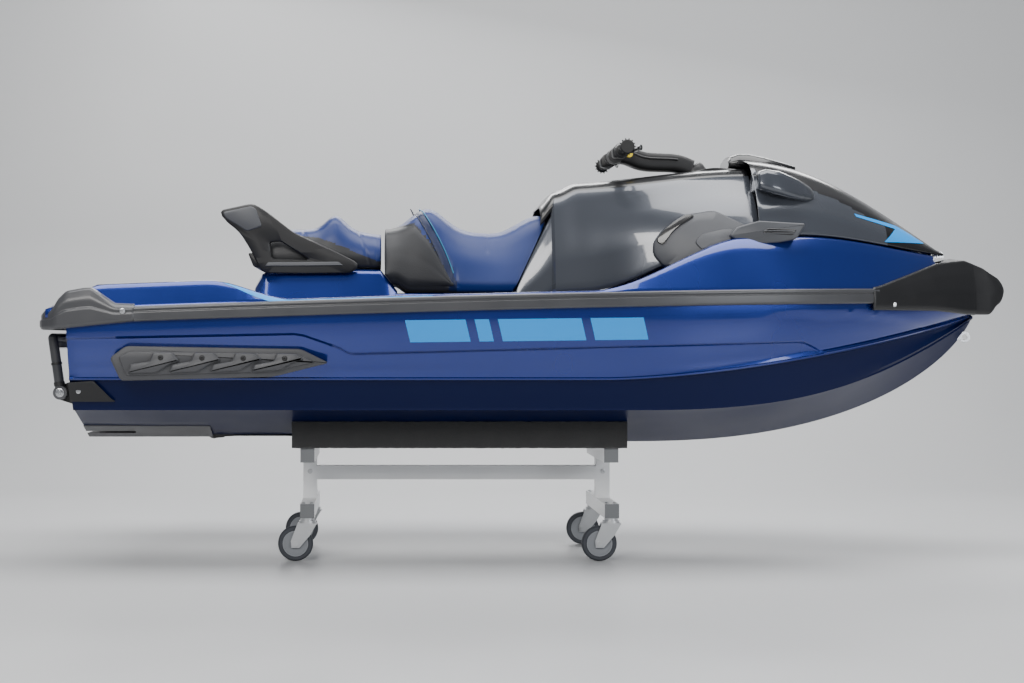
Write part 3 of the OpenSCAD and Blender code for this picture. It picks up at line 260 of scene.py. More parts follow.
def new_object(name, points, faces, angle=32.0, weld=True, outward=False):
    """A mesh object from points in millimetres and a list of faces, shaded smooth up to an angle."""
    me = bpy.data.meshes.new(name)
    me.from_pydata((np.asarray(points, float).reshape(-1, 3) * 0.001).tolist(), [], faces)
    bm = bmesh.new()
    bm.from_mesh(me)
    if weld:
        bmesh.ops.remove_doubles(bm, verts=bm.verts, dist=2e-5)
        bmesh.ops.dissolve_degenerate(bm, edges=bm.edges, dist=2e-6)
    if outward:
        bmesh.ops.recalc_face_normals(bm, faces=bm.faces)
    bm.to_mesh(me)
    bm.free()
    me.shade_smooth()
    me.set_sharp_from_angle(angle=math.radians(angle))
    ob = bpy.data.objects.new(name, me)
    bpy.context.scene.collection.objects.link(ob)
    return ob


def grid_faces(nu, nv, wrap_u=False, wrap_v=False, keep=None, flip=False, first=0):
    """Quads between neighbouring rows and columns of a grid, as lists of point numbers."""
    iu = np.arange(nu if wrap_u else nu - 1)
    iv = np.arange(nv if wrap_v else nv - 1)
    a, b = np.meshgrid(iu, iv, indexing="ij")
    a2, b2 = (a + 1) % nu, (b + 1) % nv
    q = np.stack([a * nv + b, a2 * nv + b, a2 * nv + b2, a * nv + b2], axis=-1) + first
    if flip:
        q = q[..., ::-1]
    if keep is not None:
        q = q[keep]
    return q.reshape(-1, 4).tolist()


def grid(name, pts, wrap_u=False, wrap_v=False, caps=False, keep=None, flip=False, outward=None,
         angle=32.0):
    """A surface through a grid of points; caps closes the two end outlines of a tube."""
    nu, nv = pts.shape[:2]
    faces = grid_faces(nu, nv, wrap_u, wrap_v, keep, flip)
    if caps:
        ends = [list(range(nv))[::-1], list(range((nu - 1) * nv, nu * nv))]
        faces += [e[::-1] if flip else e for e in ends]
    if outward is None:
        outward = caps or (wrap_u and wrap_v)
    return new_object(name, pts, faces, angle=angle, outward=outward)


def finish_edges(ob, thick=0.0, bevel=0.0, weighted=True, offset=-1.0):
    """Gives an open skin its wall, inwards, and evens its shading."""
    if thick:
        m = ob.modifiers.new("wall", "SOLIDIFY")
        m.thickness, m.offset, m.use_even_offset = thick * 0.001, offset, False
    if bevel:
        m = ob.modifiers.new("edge", "BEVEL")
        m.width, m.segments, m.limit_method, m.angle_limit = bevel * 0.001, 2, "ANGLE", math.radians(40)
    if weighted:
        m = ob.modifiers.new("even", "WEIGHTED_NORMAL")
        m.keep_sharp = True
    return ob


def join(name, parts):
    """One object from several, which keeps every material slot in order of first use."""
    bpy.ops.object.select_all(action="DESELECT")
    for p in parts:
        p.select_set(True)
    bpy.context.view_layer.objects.active = parts[0]
    bpy.ops.object.join()
    ob = bpy.context.view_layer.objects.active
    ob.name = ob.data.name = name
    return ob


def mirror_y(pts):
    """The starboard copy of port points."""
    return np.asarray(pts, float) * np.array([1.0, -1.0, 1.0])


def frames_along(path):
    """Unit tangents along a path, and two unit vectors square to them, the second as level
    as it can be."""
    p = np.asarray(path, float)
    t = np.gradient(p, axis=0)
    t /= np.linalg.norm(t, axis=1, keepdims=True)
    up = np.tile([0.0, 0.0, 1.0], (len(p), 1))
    steep = np.abs(t[:, 2]) > 0.93
    up[steep] = [0.0, 1.0, 0.0] if steep.all() else up[steep]
    side = np.cross(up, t)
    n = np.linalg.norm(side, axis=1, keepdims=True)
    side = np.where(n > 1e-6, side / np.maximum(n, 1e-6), [0.0, 1.0, 0.0])
    return t, side, np.cross(t, side)


def smooth_path(points, n=40):
    """A path of n points through the given ones, by a Catmull-Rom curve."""
    p = np.asarray(points, float)
    q = np.vstack([2 * p[0] - p[1], p, 2 * p[-1] - p[-2]])
    u = np.linspace(0, len(p) - 1 - 1e-9, n)
    i = u.astype(int)
    t = (u - i)[:, None]
    a, b, c, d = q[i], q[i + 1], q[i + 2], q[i + 3]
    return 0.5 * (2 * b + (c - a) * t + (2 * a - 5 * b + 4 * c - d) * t ** 2
                  + (3 * b - a - 3 * c + d) * t ** 3)


def tube(name, path, radius, sides=16, flat=1.0):
    """A round bar along a path with closed, domed ends; radius may change along it."""
    path = np.asarray(path, float)
    t, s, u = frames_along(path)
    r = np.broadcast_to(np.asarray(radius, float), (len(path),))
    ends = np.array([0.2, 0.75])
    p0 = [path[0] - t[0] * r[0] * 0.35 * (1 - e) for e in ends]
    p1 = [path[-1] + t[-1] * r[-1] * 0.35 * (1 - e) for e in ends[::-1]]
    path = np.vstack([p0, path, p1])
    r = np.concatenate([r[0] * ends, r, r[-1] * ends[::-1]])
    s = np.vstack([s[:1], s[:1], s, s[-1:], s[-1:]])
    u = np.vstack([u[:1], u[:1], u, u[-1:], u[-1:]])
    a = np.linspace(0, 2 * np.pi, sides, endpoint=False)
    ring = (np.cos(a)[None, :, None] * s[:, None] + flat * np.sin(a)[None, :, None] * u[:, None])
    return grid(name, path[:, None] + ring * r[:, None, None], wrap_v=True, caps=True, angle=40)


def lathe(name, centre, axis, profile, sides=40, angle=30):
    """A turned piece: each (distance along the axis, radius) goes once round the axis."""
    c, ax = np.asarray(centre, float), np.asarray(axis, float)
    ax = ax / np.linalg.norm(ax)
    ref = np.array([0.0, 0.0, 1.0]) if abs(ax[2]) < 0.9 else np.array([1.0, 0.0, 0.0])
    e1 = np.cross(ref, ax)
    e1 /= np.linalg.norm(e1)
    e2 = np.cross(ax, e1)
    a = np.linspace(0, 2 * np.pi, sides, endpoint=False)
    ring = np.cos(a)[:, None] * e1 + np.sin(a)[:, None] * e2
    p = np.asarray(profile, float)
    pts = c + p[:, :1, None] * ax + np.maximum(p[:, 1:, None], 1e-3) * ring[None]
    return grid(name, pts, wrap_v=True, caps=True, angle=angle)


def bolt(name, centre, axis, r=9.0, h=4.0, socket=True):
    """A dome-headed screw: a washer, a crowned head and a sunk socket."""
    prof = [(-2, r * 1.35), (0.8, r * 1.35), (1.2, r * 1.2), (1.2, r), (h * 0.6, r * 0.97), (h, r * 0.7)]
    prof += [(h, r * 0.42), (h * 0.3, r * 0.38), (h * 0.3, 0)] if socket else [(h * 1.08, 0)]
    return lathe(name, centre, axis, prof, sides=20, angle=25)


def slab(name, outline, y0, y1, ease=3.0):
    """A plate with an X-Z outline between two values of y, with eased edges: the outline is
    carried across, drawn in towards its middle at both faces."""
    o = np.asarray(outline, float)
    area = np.sum(o[:, 0] * np.roll(o[:, 1], -1) - np.roll(o[:, 0], -1) * o[:, 1])
    o = o if area > 0 else o[::-1]
    t = np.roll(o, -1, 0) - np.roll(o, 1, 0)
    t /= np.linalg.norm(t, axis=1, keepdims=True)
    inward = np.stack([-t[:, 1], t[:, 0]], axis=1)
    s = 1.0 if y1 > y0 else -1.0
    rows = [(y0, ease), (y0 + s * ease * 0.3, ease * 0.3), (y0 + s * ease, 0), (y1 - s * ease, 0),
            (y1 - s * ease * 0.3, ease * 0.3), (y1, ease)]
    pts = np.stack([np.column_stack([o[:, 0] + inward[:, 0] * d, np.full(len(o), y),
                                     o[:, 1] + inward[:, 1] * d])
                    for y, d in rows])
    return grid(name, pts, wrap_v=True, caps=True, angle=50)


def outline2d(points, radius, n=6):
    """A closed 2-D outline with eased corners."""
    return rounded(np.asarray([points], float), radius, n, closed=True)[0]


# ---------------------------------------------------------------- shader groups and finishes
def group(name, ins, outs):
    """An empty shader group with (name, kind, value) inputs and (name, kind) outputs."""
    g = bpy.data.node_groups.new(name, "ShaderNodeTree")
    for n, kind, val in ins:
        s = g.interface.new_socket(n, in_out="INPUT", socket_type=kind)
        if val is not None:
            s.default_value = val
    for n, kind in outs:
        g.interface.new_socket(n, in_out="OUTPUT", socket_type=kind)
    return g, g.nodes.new("NodeGroupInput"), g.nodes.new("NodeGroupOutput")


def add(tree, kind, **props):
    """A node with its properties set, and its inputs by name or number from 'inputs'."""
    n = tree.nodes.new(kind)
    for k, v in props.items():
        if k == "inputs":
            for key, val in v.items():
                n.inputs[key].default_value = val
        else:
            setattr(n, k, v)
    return n


def math_node(tree, op, a, b=None, clamp=False):
    """One math step on sockets or plain numbers."""
    n = tree.nodes.new("ShaderNodeMath")
    n.operation, n.use_clamp = op, clamp
    for i, v in enumerate((a, b)):
        if v is None:
            continue
        if hasattr(v, "is_output"):
            tree.links.new(v, n.inputs[i])
        else:
            n.inputs[i].default_value = v
    return n.outputs[0]


def noise(tree, vec, scale, detail=3.0, rough=0.5):
    n = add(tree, "ShaderNodeTexNoise", inputs={"Scale": scale, "Detail": detail, "Roughness": rough})
    tree.links.new(vec, n.inputs["Vector"])
    return n.outputs["Fac"]


def mix_colour(tree, fac, a, b):
    """Colour mix of sockets or plain colours."""
    n = add(tree, "ShaderNodeMix", data_type="RGBA")
    for key, v in ((0, fac), (6, a), (7, b)):
        if hasattr(v, "is_output"):
            tree.links.new(v, n.inputs[key])
        else:
            n.inputs[key].default_value = v if not isinstance(v, tuple) else (*v[:3], 1.0)
    return n.outputs[2]


def make_patina():
    """Slow cloudiness, fine speckle and worn edges, as masks around one half and zero."""
    g, gi, go = group("patina", [("Vector", "NodeSocketVector", None),
                                 ("Cloud scale", "NodeSocketFloat", 3.0),
                                 ("Speck scale", "NodeSocketFloat", 240.0)],
                      [("Cloud", "NodeSocketFloat"), ("Speck", "NodeSocketFloat"),
                       ("Edge", "NodeSocketFloat")])
    for key, size in (("Cloud", "Cloud scale"), ("Speck", "Speck scale")):
        n = add(g, "ShaderNodeTexNoise", inputs={"Detail": 3.0})
        g.links.new(gi.outputs["Vector"], n.inputs["Vector"])
        g.links.new(gi.outputs[size], n.inputs["Scale"])
        g.links.new(n.outputs["Fac"], go.inputs[key])
    geo = g.nodes.new("ShaderNodeNewGeometry")
    e = math_node(g, "SUBTRACT", geo.outputs["Pointiness"], 0.52)
    g.links.new(math_node(g, "MULTIPLY", e, 9.0, clamp=True), go.inputs["Edge"])
    return g


def make_pebble():
    """Moulded grain: cells of two sizes with soft valleys, as a height."""
    g, gi, go = group("pebble", [("Vector", "NodeSocketVector", None),
                                 ("Scale", "NodeSocketFloat", 400.0)],
                      [("Height", "NodeSocketFloat")])
    v = add(g, "ShaderNodeTexVoronoi", feature="SMOOTH_F1", inputs={"Smoothness": 0.4})
    n = add(g, "ShaderNodeTexNoise", inputs={"Detail": 4.0, "Roughness": 0.6})
    for node in (v, n):
        g.links.new(gi.outputs["Vector"], node.inputs["Vector"])
        g.links.new(gi.outputs["Scale"], node.inputs["Scale"])
    g.links.new(math_node(g, "ADD", v.outputs["Distance"],
                          math_node(g, "MULTIPLY", n.outputs["Fac"], 0.5)),
                go.inputs["Height"])
    return g


def make_band():
    """A soft-edged band: one where a value lies between two limits."""
    g, gi, go = group("band", [("Value", "NodeSocketFloat", 0.0), ("Low", "NodeSocketFloat", 0.0),
                               ("High", "NodeSocketFloat", 1.0), ("Soft", "NodeSocketFloat", 0.002)],
                      [("Mask", "NodeSocketFloat")])
    up = math_node(g, "DIVIDE", math_node(g, "SUBTRACT", gi.outputs["Value"], gi.outputs["Low"]),
                   gi.outputs["Soft"], clamp=True)
    dn = math_node(g, "DIVIDE", math_node(g, "SUBTRACT", gi.outputs["High"], gi.outputs["Value"]),
                   gi.outputs["Soft"], clamp=True)
    g.links.new(math_node(g, "MULTIPLY", up, dn), go.inputs["Mask"])
    return g


PATINA, PEBBLE, BAND = make_patina(), make_pebble(), make_band()


class Finish:
    """A material under way: its tree, shader, coordinates and patina masks."""

    def __init__(self, name, cloud=3.0, speck=240.0):
        self.mat = bpy.data.materials.new(name)
        self.mat.use_nodes = True
        self.t = self.mat.node_tree
        self.bsdf = self.t.nodes["Principled BSDF"]
        self.obj = self.t.nodes.new("ShaderNodeTexCoord").outputs["Object"]
        self.p = self.t.nodes.new("ShaderNodeGroup")
        self.p.node_tree = PATINA
        self.p.inputs["Cloud scale"].default_value = cloud
        self.p.inputs["Speck scale"].default_value = speck
        self.t.links.new(self.obj, self.p.inputs["Vector"])

    def use(self, tree, out, **vals):
        """One output of a shared node group, with its inputs set or linked."""
        n = self.t.nodes.new("ShaderNodeGroup")
        n.node_tree = tree
        for k, v in vals.items():
            if hasattr(v, "is_output"):
                self.t.links.new(v, n.inputs[k])
            else:
                n.inputs[k].default_value = v
        return n.outputs[out]

    def axis(self, i):
        s = self.t.nodes.new("ShaderNodeSeparateXYZ")
        self.t.links.new(self.obj, s.inputs[0])
        return s.outputs[i]

    def vary(self, base, amount=0.12, speck=0.0, edge=0.0, edge_colour=(0.5, 0.5, 0.5)):
        """The base colour, darker and lighter in slow clouds, flecked, and paler on worn edges."""
        low = tuple(c * (1 - amount) for c in base)
        high = tuple(min(1, c * (1 + amount)) for c in base)
        c = mix_colour(self.t, self.p.outputs["Cloud"], low, high)
        if speck:
            bright = tuple(min(1, c0 * 1.9 + 0.02) for c0 in base)
            m = math_node(self.t, "MULTIPLY", math_node(self.t, "SUBTRACT", self.p.outputs["Speck"],
                0.55), speck, clamp=True)
            c = mix_colour(self.t, m, c, bright)
        if edge:
            m = math_node(self.t, "MULTIPLY", self.p.outputs["Edge"], edge, clamp=True)
            c = mix_colour(self.t, m, c, edge_colour)
        return c

    def paint(self, colour):
        self.t.links.new(colour, self.bsdf.inputs["Base Color"])
        return self

    def rough(self, low, high):
        """Roughness between two limits, in the slow clouds."""
        r = self.t.nodes.new("ShaderNodeMapRange")
        r.inputs["To Min"].default_value, r.inputs["To Max"].default_value = low, high
        r.inputs["From Min"].default_value, r.inputs["From Max"].default_value = 0.3, 0.7
        self.t.links.new(self.p.outputs["Cloud"], r.inputs["Value"])
        self.t.links.new(r.outputs[0], self.bsdf.inputs["Roughness"])
        return self

    def bump(self, height, strength=0.2, distance=0.0005):
        """Surface relief from a height."""
        b = self.t.nodes.new("ShaderNodeBump")
        b.inputs["Strength"].default_value, b.inputs["Distance"].default_value = strength, distance
        self.t.links.new(height, b.inputs["Height"])
        self.t.links.new(b.outputs[0], self.bsdf.inputs["Normal"])
        return self

    def set(self, **vals):
        for k, v in vals.items():
            self.bsdf.inputs[k.replace("_", " ")].default_value = v
        return self


def gloss(name, base, metal=0.0, coat=1.0, speck=0.0, low=0.16, high=0.3, shade_below=None):
    """Sprayed gelcoat under clear lacquer, with flake; the last argument darkens it under a height line,
    painted shade for the underside.
    """
    f = Finish(name, cloud=2.2, speck=1500.0)
    c = f.vary(base, 0.07, speck=speck)
    if shade_below:
        # painted shade: under a line that rises with the chine the colour turns dark, standing for the
        # shade on the underside
        line, soft, dark = shade_below
        x = f.axis(0)
        rise = math_node(f.t, "MULTIPLY", math_node(f.t, "POWER", math_node(f.t, "MAXIMUM", math_node(
            f.t, "DIVIDE", math_node(f.t, "SUBTRACT", x, 0.2), 1.4275), 0.0), 1.6), 0.22)
        z = math_node(f.t, "SUBTRACT", f.axis(2), rise)
        c = mix_colour(f.t, f.use(BAND, "Mask", Value=z, Low=-9.0, High=line, Soft=soft), c, dark)
    f.paint(c).rough(low, high)
    f.bump(f.p.outputs["Cloud"], 0.04, 0.002)
    return f.set(Metallic=metal, Coat_Weight=coat, Coat_Roughness=0.045, IOR=1.5).mat


def moulded(name, base, low=0.42, high=0.58, grain=650.0, strength=0.25, edge=0.35, coat=0.0):
    """Moulded plastic or rubber: fine pebble grain, scuffed edges, cloudy dulling."""
    f = Finish(name, cloud=6.0, speck=500.0)
    pale = tuple(min(1, c * 1.8 + 0.05) for c in base)
    f.paint(f.vary(base, 0.14, speck=0.35, edge=edge, edge_colour=pale)).rough(low, high)
    f.bump(f.use(PEBBLE, "Height", Vector=f.obj, Scale=grain), strength, 0.0004)
    return f.set(Coat_Weight=coat, Coat_Roughness=0.2).mat


def metal(name, base, low=0.22, high=0.42, speck=0.5, bump=0.08):
    """Cast, plated or polished metal with faint streaks."""
    f = Finish(name, cloud=9.0, speck=900.0)
    f.paint(f.vary(base, 0.1, speck=speck, edge=0.4, edge_colour=(0.8, 0.8, 0.8))).rough(low, high)
    f.bump(f.p.outputs["Speck"], bump, 0.0003)
    return f.set(Metallic=1.0).mat


def vinyl(name, base, grain=520.0, strength=0.35, low=0.38, high=0.5):
    """Marine seat vinyl: leather grain with soft sheen and slow colour variation."""
    f = Finish(name, cloud=5.0, speck=700.0)
    pale = tuple(min(1, c * 1.5 + 0.01) for c in base)
    f.paint(f.vary(base, 0.12, speck=0.25, edge=0.25, edge_colour=pale)).rough(low, high)
    f.bump(f.use(PEBBLE, "Height", Vector=f.obj, Scale=grain), strength, 0.0005)
    return f.set(Sheen_Weight=0.12, Sheen_Roughness=0.4).mat


def carpet(name, base):
    """Bunk carpet: fibres as stretched noise at two scales, with lint."""
    f = Finish(name, cloud=14.0, speck=800.0)
    f.paint(f.vary(base, 0.5, speck=1.6)).rough(0.9, 1.0)
    h = math_node(f.t, "ADD", noise(f.t, f.obj, 900.0, 6.0, 0.8),
                  math_node(f.t, "MULTIPLY", noise(f.t, f.obj, 160.0), 0.8))
    f.bump(h, 0.9, 0.003)
    return f.set(Sheen_Weight=0.35, Sheen_Roughness=0.6).mat


M = {
    # hull_blue turns dark under the chine line: painted shade for the underside
    "hull_blue": gloss("hull_blue", (0.0006, 0.020, 0.200), metal=0.6, speck=0.5, low=0.2, high=0.3,
                       shade_below=(0.648, 0.004, (0.0005, 0.006, 0.050))),
    # the underside's colour is painted shade: dark blue standing for the shade below the chine, its
    # reflection damped too
    "shaded_hull_bottom": gloss("shaded_hull_bottom", (0.0004, 0.0045, 0.042), coat=0.03, low=0.34, high=0.44),
    "deck_blue": gloss("deck_blue", (0.0006, 0.020, 0.195), metal=0.6, speck=0.5, low=0.2, high=0.3),
    "slate_gloss": gloss("slate_gloss", (0.060, 0.067, 0.082), metal=0.35, speck=0.4, low=0.2, high=0.3),
    "black_gloss": gloss("black_gloss", (0.004, 0.004, 0.005), coat=0.5, low=0.24, high=0.34),
    "accent_cyan": gloss("accent_cyan", (0.0004, 0.30, 0.82), coat=0.15, low=0.4, high=0.5),
    "rail_grey": moulded("rail_grey", (0.050, 0.051, 0.056), low=0.3, high=0.42, grain=900, strength=0.08,
                         coat=0.25),
    "black_plastic": moulded("black_plastic", (0.0085, 0.0085, 0.0095)),
    "bumper_black": moulded("bumper_black", (0.0075, 0.0075, 0.0085), low=0.36, high=0.5, strength=0.18),
    "grey_plastic": moulded("grey_plastic", (0.066, 0.069, 0.077), low=0.4, high=0.52),
    "sponson_grey": moulded("sponson_grey", (0.050, 0.051, 0.056), low=0.4, high=0.55, strength=0.2),
    "mat_rubber": moulded("mat_rubber", (0.055, 0.058, 0.062), low=0.7, high=0.85, grain=260,
                          strength=0.5),
    "grip_rubber": moulded("grip_rubber", (0.006, 0.006, 0.006), low=0.6, high=0.75, grain=420,
                           strength=0.4),
    "seat_blue": vinyl("seat_blue", (0.002, 0.020, 0.135)),
    "seat_deep": vinyl("seat_deep", (0.0015, 0.009, 0.052)),
    "seat_charcoal": vinyl("seat_charcoal", (0.012, 0.013, 0.016), grain=300, strength=0.55, low=0.45,
                           high=0.6),
    "thread_teal": vinyl("thread_teal", (0.01, 0.16, 0.30), grain=1500),
    "thread_dark": vinyl("thread_dark", (0.008, 0.012, 0.03), grain=1500),
    "cradle_white": moulded("cradle_white", (0.74, 0.75, 0.76), low=0.32, high=0.45, grain=500,
                            strength=0.07, coat=0.2),
    "cap_grey": moulded("cap_grey", (0.10, 0.105, 0.11)),
    "bunk_carpet": carpet("bunk_carpet", (0.0045, 0.0045, 0.0048)),
    "zinc": metal("zinc", (0.62, 0.63, 0.64), low=0.25, high=0.45),
    "steel": metal("steel", (0.55, 0.56, 0.58), low=0.18, high=0.32),
    "pump_metal": metal("pump_metal", (0.20, 0.205, 0.215), low=0.4, high=0.55, bump=0.25),
    "engine_grey": moulded("engine_grey", (0.12, 0.125, 0.13)),
    "tyre_grey": moulded("tyre_grey", (0.032, 0.036, 0.045), low=0.5, high=0.65, grain=700,
                         strength=0.12),
    "hub_grey": moulded("hub_grey", (0.18, 0.19, 0.205), low=0.4, high=0.5),
    "lens_smoke": gloss("lens_smoke", (0.006, 0.007, 0.009), low=0.06, high=0.1),
    "lanyard_yellow": moulded("lanyard_yellow", (0.75, 0.50, 0.02), low=0.35, high=0.5),
    "glass_silver": metal("glass_silver", (0.22, 0.23, 0.25), low=0.03, high=0.06, speck=0.0, bump=0.01),
}

M["shaded_hull_bottom"].node_tree.nodes["Principled BSDF"].inputs["Specular IOR Level"].default_value = 0.15


KEY = {m.name: k for k, m in M.items()}


def wear(ob, *names):
    """Gives an object its materials, in slot order."""
    ob.data.materials.clear()
    for n in names:
        ob.data.materials.append(M[n])
    return ob


def region(ob, fn, slot):
    """Faces whose centre meets fn(x, y, z in millimetres) take the material in that slot."""
    me = ob.data
    c = np.zeros(len(me.polygons) * 3)
    me.polygons.foreach_get("center", c)
    c = c.reshape(-1, 3) * 1000
    idx = np.zeros(len(me.polygons), np.int32)
    me.polygons.foreach_get("material_index", idx)
    idx[fn(c[:, 0], c[:, 1], c[:, 2])] = slot
    me.polygons.foreach_set("material_index", idx)
    return ob


def put(ob, body, replaces=()):
    """Rides a piece on its body and hides the CAD nodes it stands for."""
    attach(ob, body)
    if replaces:
        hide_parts(*replaces)
    return ob


def surface_strip(name, fn, us, vs, lift=0.9, flip=False):
    """A thin graphic laid on a surface: fn(u, v) gives points, raised a little outwards."""
    u, v = np.meshgrid(us, vs, indexing="ij")
    p = fn(u, v)
    du, dv = np.gradient(p, axis=0), np.gradient(p, axis=1)
    n = np.cross(du, dv)
    n /= np.maximum(np.linalg.norm(n, axis=2, keepdims=True), 1e-9)
    n = -n if flip else n
    ob = grid(name, p + n * lift, flip=flip)
    return ob


# ---------------------------------------------------------------- hull
CREASE = [(-1630, 788), (-833, 804), (-697, 757), (-666, 737), (380, 764), (893, 777), (993, 733),
          (1190, 640), (1700, 500)]
BOW_LINE = [(-1700, 870), (830, 870), (1050, 874), (1260, 855), (1392, 823), (1524, 741), (1700, 700)]


def crease_z(x):
    """Height of the step pressed into the topsides."""
    return np.clip(curve(x, CREASE, 14), chine_z(x) + 16, rail_z(x) - 60)


def topside(x, z):
    """Half breadth of the topsides: from the chine out to the side by one less (1 - f) to the
    2.2, f being the share of the height; tucked in 10 mm under the step, and 7 mm more
    under the bow line."""
    x, z = np.asarray(x, float), np.asarray(z, float)
    f = np.clip((z - chine_z(x)) / (rail_z(x) - 26 - chine_z(x)), 0, 1)
    y = chine_w(x) + (side_y(x) - chine_w(x)) * (1 - (1 - f) ** 2.2)
    y = y - 10 * ramp(crease_z(x) - z, -2, 9) * ramp(f, 0.0, 0.12)
    fade = ramp(x, 700, 1000) * (1 - ramp(x, 1450, 1590))
    return y - 7 * fade * ramp(curve(x, BOW_LINE) - z, -2, 8) * ramp(f, 0.0, 0.2)


def bottom_z(x, y):
    """The vee bottom, a straight line from the keel to the strake."""
    return lerp(keel(x), strake_z(x), np.clip(y / np.maximum(strake_w(x), 1), 0, 1))


XS_HULL = np.unique(np.concatenate([
    np.linspace(TRANSOM_X, -1180, 12), [-1167.5, -850.0, -697, -666], np.linspace(-1150, 350, 46),
    np.linspace(380, 1400, 52), np.linspace(1415, STEM_X, 18)]))


def hull_section(xs):
    """Port half from the rail down to the keel."""
    xs = np.asarray(xs, float)
    zc, zt, zb = crease_z(xs), rail_z(xs) - 26, chine_z(xs)
    zs = [rail_z(xs), zt]
    zs += [lerp(zt, zc + 5, t) for t in np.linspace(0.1, 1, 9)]
    zs += [zc + 2, zc - 1, zc - 4, zc - 7, zc - 10]
    zs += [lerp(zc - 14, zb + 5, t) for t in np.linspace(0, 1, 7)]
    pts = [np.stack([np.where(k < 2, side_y(xs), topside(xs, z)), z], 1) for k, z in enumerate(zs)]
    w, sw, sz = chine_w(xs), strake_w(xs), strake_z(xs)
    lip = np.minimum(7, 0.02 * w)
    pts += [np.stack([w + lip, zb + 1], 1), np.stack([w + lip * 0.9, zb - 5], 1),
            np.stack([w - lip * 1.2, zb - 8], 1)]
    pts += [np.stack([lerp(w - 10, sw + 20, t), lerp(zb - 9, sz + 9, t)], 1) for t in (0.3, 0.65, 0.97)]
    pts += [np.stack([sw + lip * 2.2, sz + 2], 1), np.stack([sw + lip * 2, sz - 5], 1),
            np.stack([sw - 4, sz - 4], 1)]
    rest = [np.minimum(sw * 0.94, v) for v in (400, 330, 270)]
    rest += [np.minimum(sw * 0.6, 214.0), np.minimum(sw * 0.42, 150.0), np.minimum(sw * 0.3, 98.0),
             np.minimum(sw * 0.14, 45.0), np.minimum(sw * 0.05, 14.0), sw * 0]
    pts += [np.stack([y, bottom_z(xs, y)], 1) for y in rest]
    return np.stack(pts, 1)


def build_hull():
    """The hull's outside: port half, keel, starboard half, from the transom to the stem, open
    over the ride plate and the water intake."""
    half = hull_section(XS_HULL)
    sec = np.concatenate([half, half[:, -2::-1] * [-1.0, 1.0]], 1)
    pts = at_x(XS_HULL, sec)
    mid = face_middles(pts)
    x, y, z = mid[..., 0], np.abs(mid[..., 1]), mid[..., 2]
    low = z < 560
    gone = low & (((x < -1167.6) & (y < 213)) | ((x > -1167.6) & (x < -850.1) & (y < 97)))
    ob = grid("hull_shell", pts, keep=~gone, outward=False, angle=24)
    wear(ob, "hull_blue", "shaded_hull_bottom")
    # faces under the chine take the dark underside colour, painted shade
    region(ob, lambda x, y, z: z < chine_z(x) - 5, 1)
    return finish_edges(ob, thick=6)


def ring_by_angle(loop, centre, n=120):
    """A closed (y, z) loop read off at even angles round a centre."""
    d = np.asarray(loop, float) - centre
    a = np.unwrap(np.arctan2(d[:, 1], d[:, 0]))
    if a[-1] < a[0]:
        d, a = d[::-1], a[::-1]
    want = np.linspace(-np.pi, np.pi, n, endpoint=False)
    base = np.mod(a + np.pi, 2 * np.pi) - np.pi
    order = np.argsort(base)
    aa, dd = base[order], d[order]
    aa = np.concatenate([aa[-1:] - 2 * np.pi, aa, aa[:1] + 2 * np.pi])
    dd = np.vstack([dd[-1:], dd, dd[:1]])
    return np.column_stack([np.interp(want, aa, dd[:, 0]), np.interp(want, aa, dd[:, 1])]) + centre


def dense(loop, n=400):
    """A closed loop resampled to n points along its length."""
    p = np.vstack([loop, loop[:1]])
    s = np.concatenate([[0], np.cumsum(np.linalg.norm(np.diff(p, axis=0), axis=1))])
    u = np.linspace(0, s[-1], n, endpoint=False)
    return np.column_stack([np.interp(u, s, p[:, k]) for k in range(p.shape[1])])


def build_transom():
    """The stern panel: a ring from the jet recess out to the hull's edge, and the recess liner
    that runs forward from it to a bulkhead."""
    half = hull_section(np.array([TRANSOM_X]))[0]
    keep = half[(half[:, 0] >= 213.9) | (half[:, 1] > 560)]
    outer = np.vstack([keep, [[214, 505], [-214, 505]], keep[::-1] * [-1, 1]])
    centre = np.array([0.0, 640.0])
    out = ring_by_angle(dense(outer, 900), centre, 180)
    rec = outline2d([(-158, 506), (158, 506), (158, 791), (-158, 791)], 26, 8)
    inner = ring_by_angle(dense(rec, 700), centre, 180)
    rows = [(out, TRANSOM_X + 4), (lerp(out, centre, 0.006), TRANSOM_X - 1),
            (lerp(out, inner, 0.5), TRANSOM_X - 2),
            (lerp(out, inner, 0.96), TRANSOM_X - 2), (inner, TRANSOM_X + 2), (inner, TRANSOM_X + 60),
            (inner, -1440)]
    back = [(lerp(inner, centre, 0.5), -1440), (lerp(inner, centre, 0.98), -1440)]
    pts = np.stack([np.column_stack([np.full(len(r), x), r]) for r, x in rows + back])
    ob = grid("transom_panel", pts, wrap_v=True, outward=False, angle=30)
    ob.data.flip_normals() if ob.data.polygons[0].normal.x > 0 else None
    # the blue face below the chine line darkens in its material: painted shade
    wear(ob, "hull_blue", "black_plastic")
    region(ob, lambda x, y, z: x > TRANSOM_X + 1, 1)
    return finish_edges(ob)


def build_intake():
    """The water duct: eased rectangles on the bottom, blended to the pump's circle."""
    rows = []
    a = np.linspace(0, 2 * np.pi, 48, endpoint=False)
    for t in np.linspace(0, 1, 12):
        x0, x1 = lerp(-1160, -1262, t), lerp(-855, -1254, t)
        n = lerp(6, 2, ramp(t, 0.2, 1))
        c, s = np.cos(a), np.sin(a)
        ex, ey = np.sign(c) * np.abs(c) ** (2 / n), np.sign(s) * np.abs(s) ** (2 / n)
        half_y = lerp(96, 76, t)
        cx, hx = (x0 + x1) / 2, (x1 - x0) / 2
        z0 = lerp(425, PUMP_Z, ramp(t, 0, 1))
        x = cx + hx * ex
        z = z0 + 78 * t * ex * 0.98 + 8 * (1 - t) * (ey ** 2)
        rows.append(np.column_stack([x, half_y * ey, z]))
    ob = grid("intake_duct", np.stack(rows), wrap_v=True, outward=False)
    wear(ob, "black_plastic")
    return finish_edges(ob, thick=3, weighted=False)


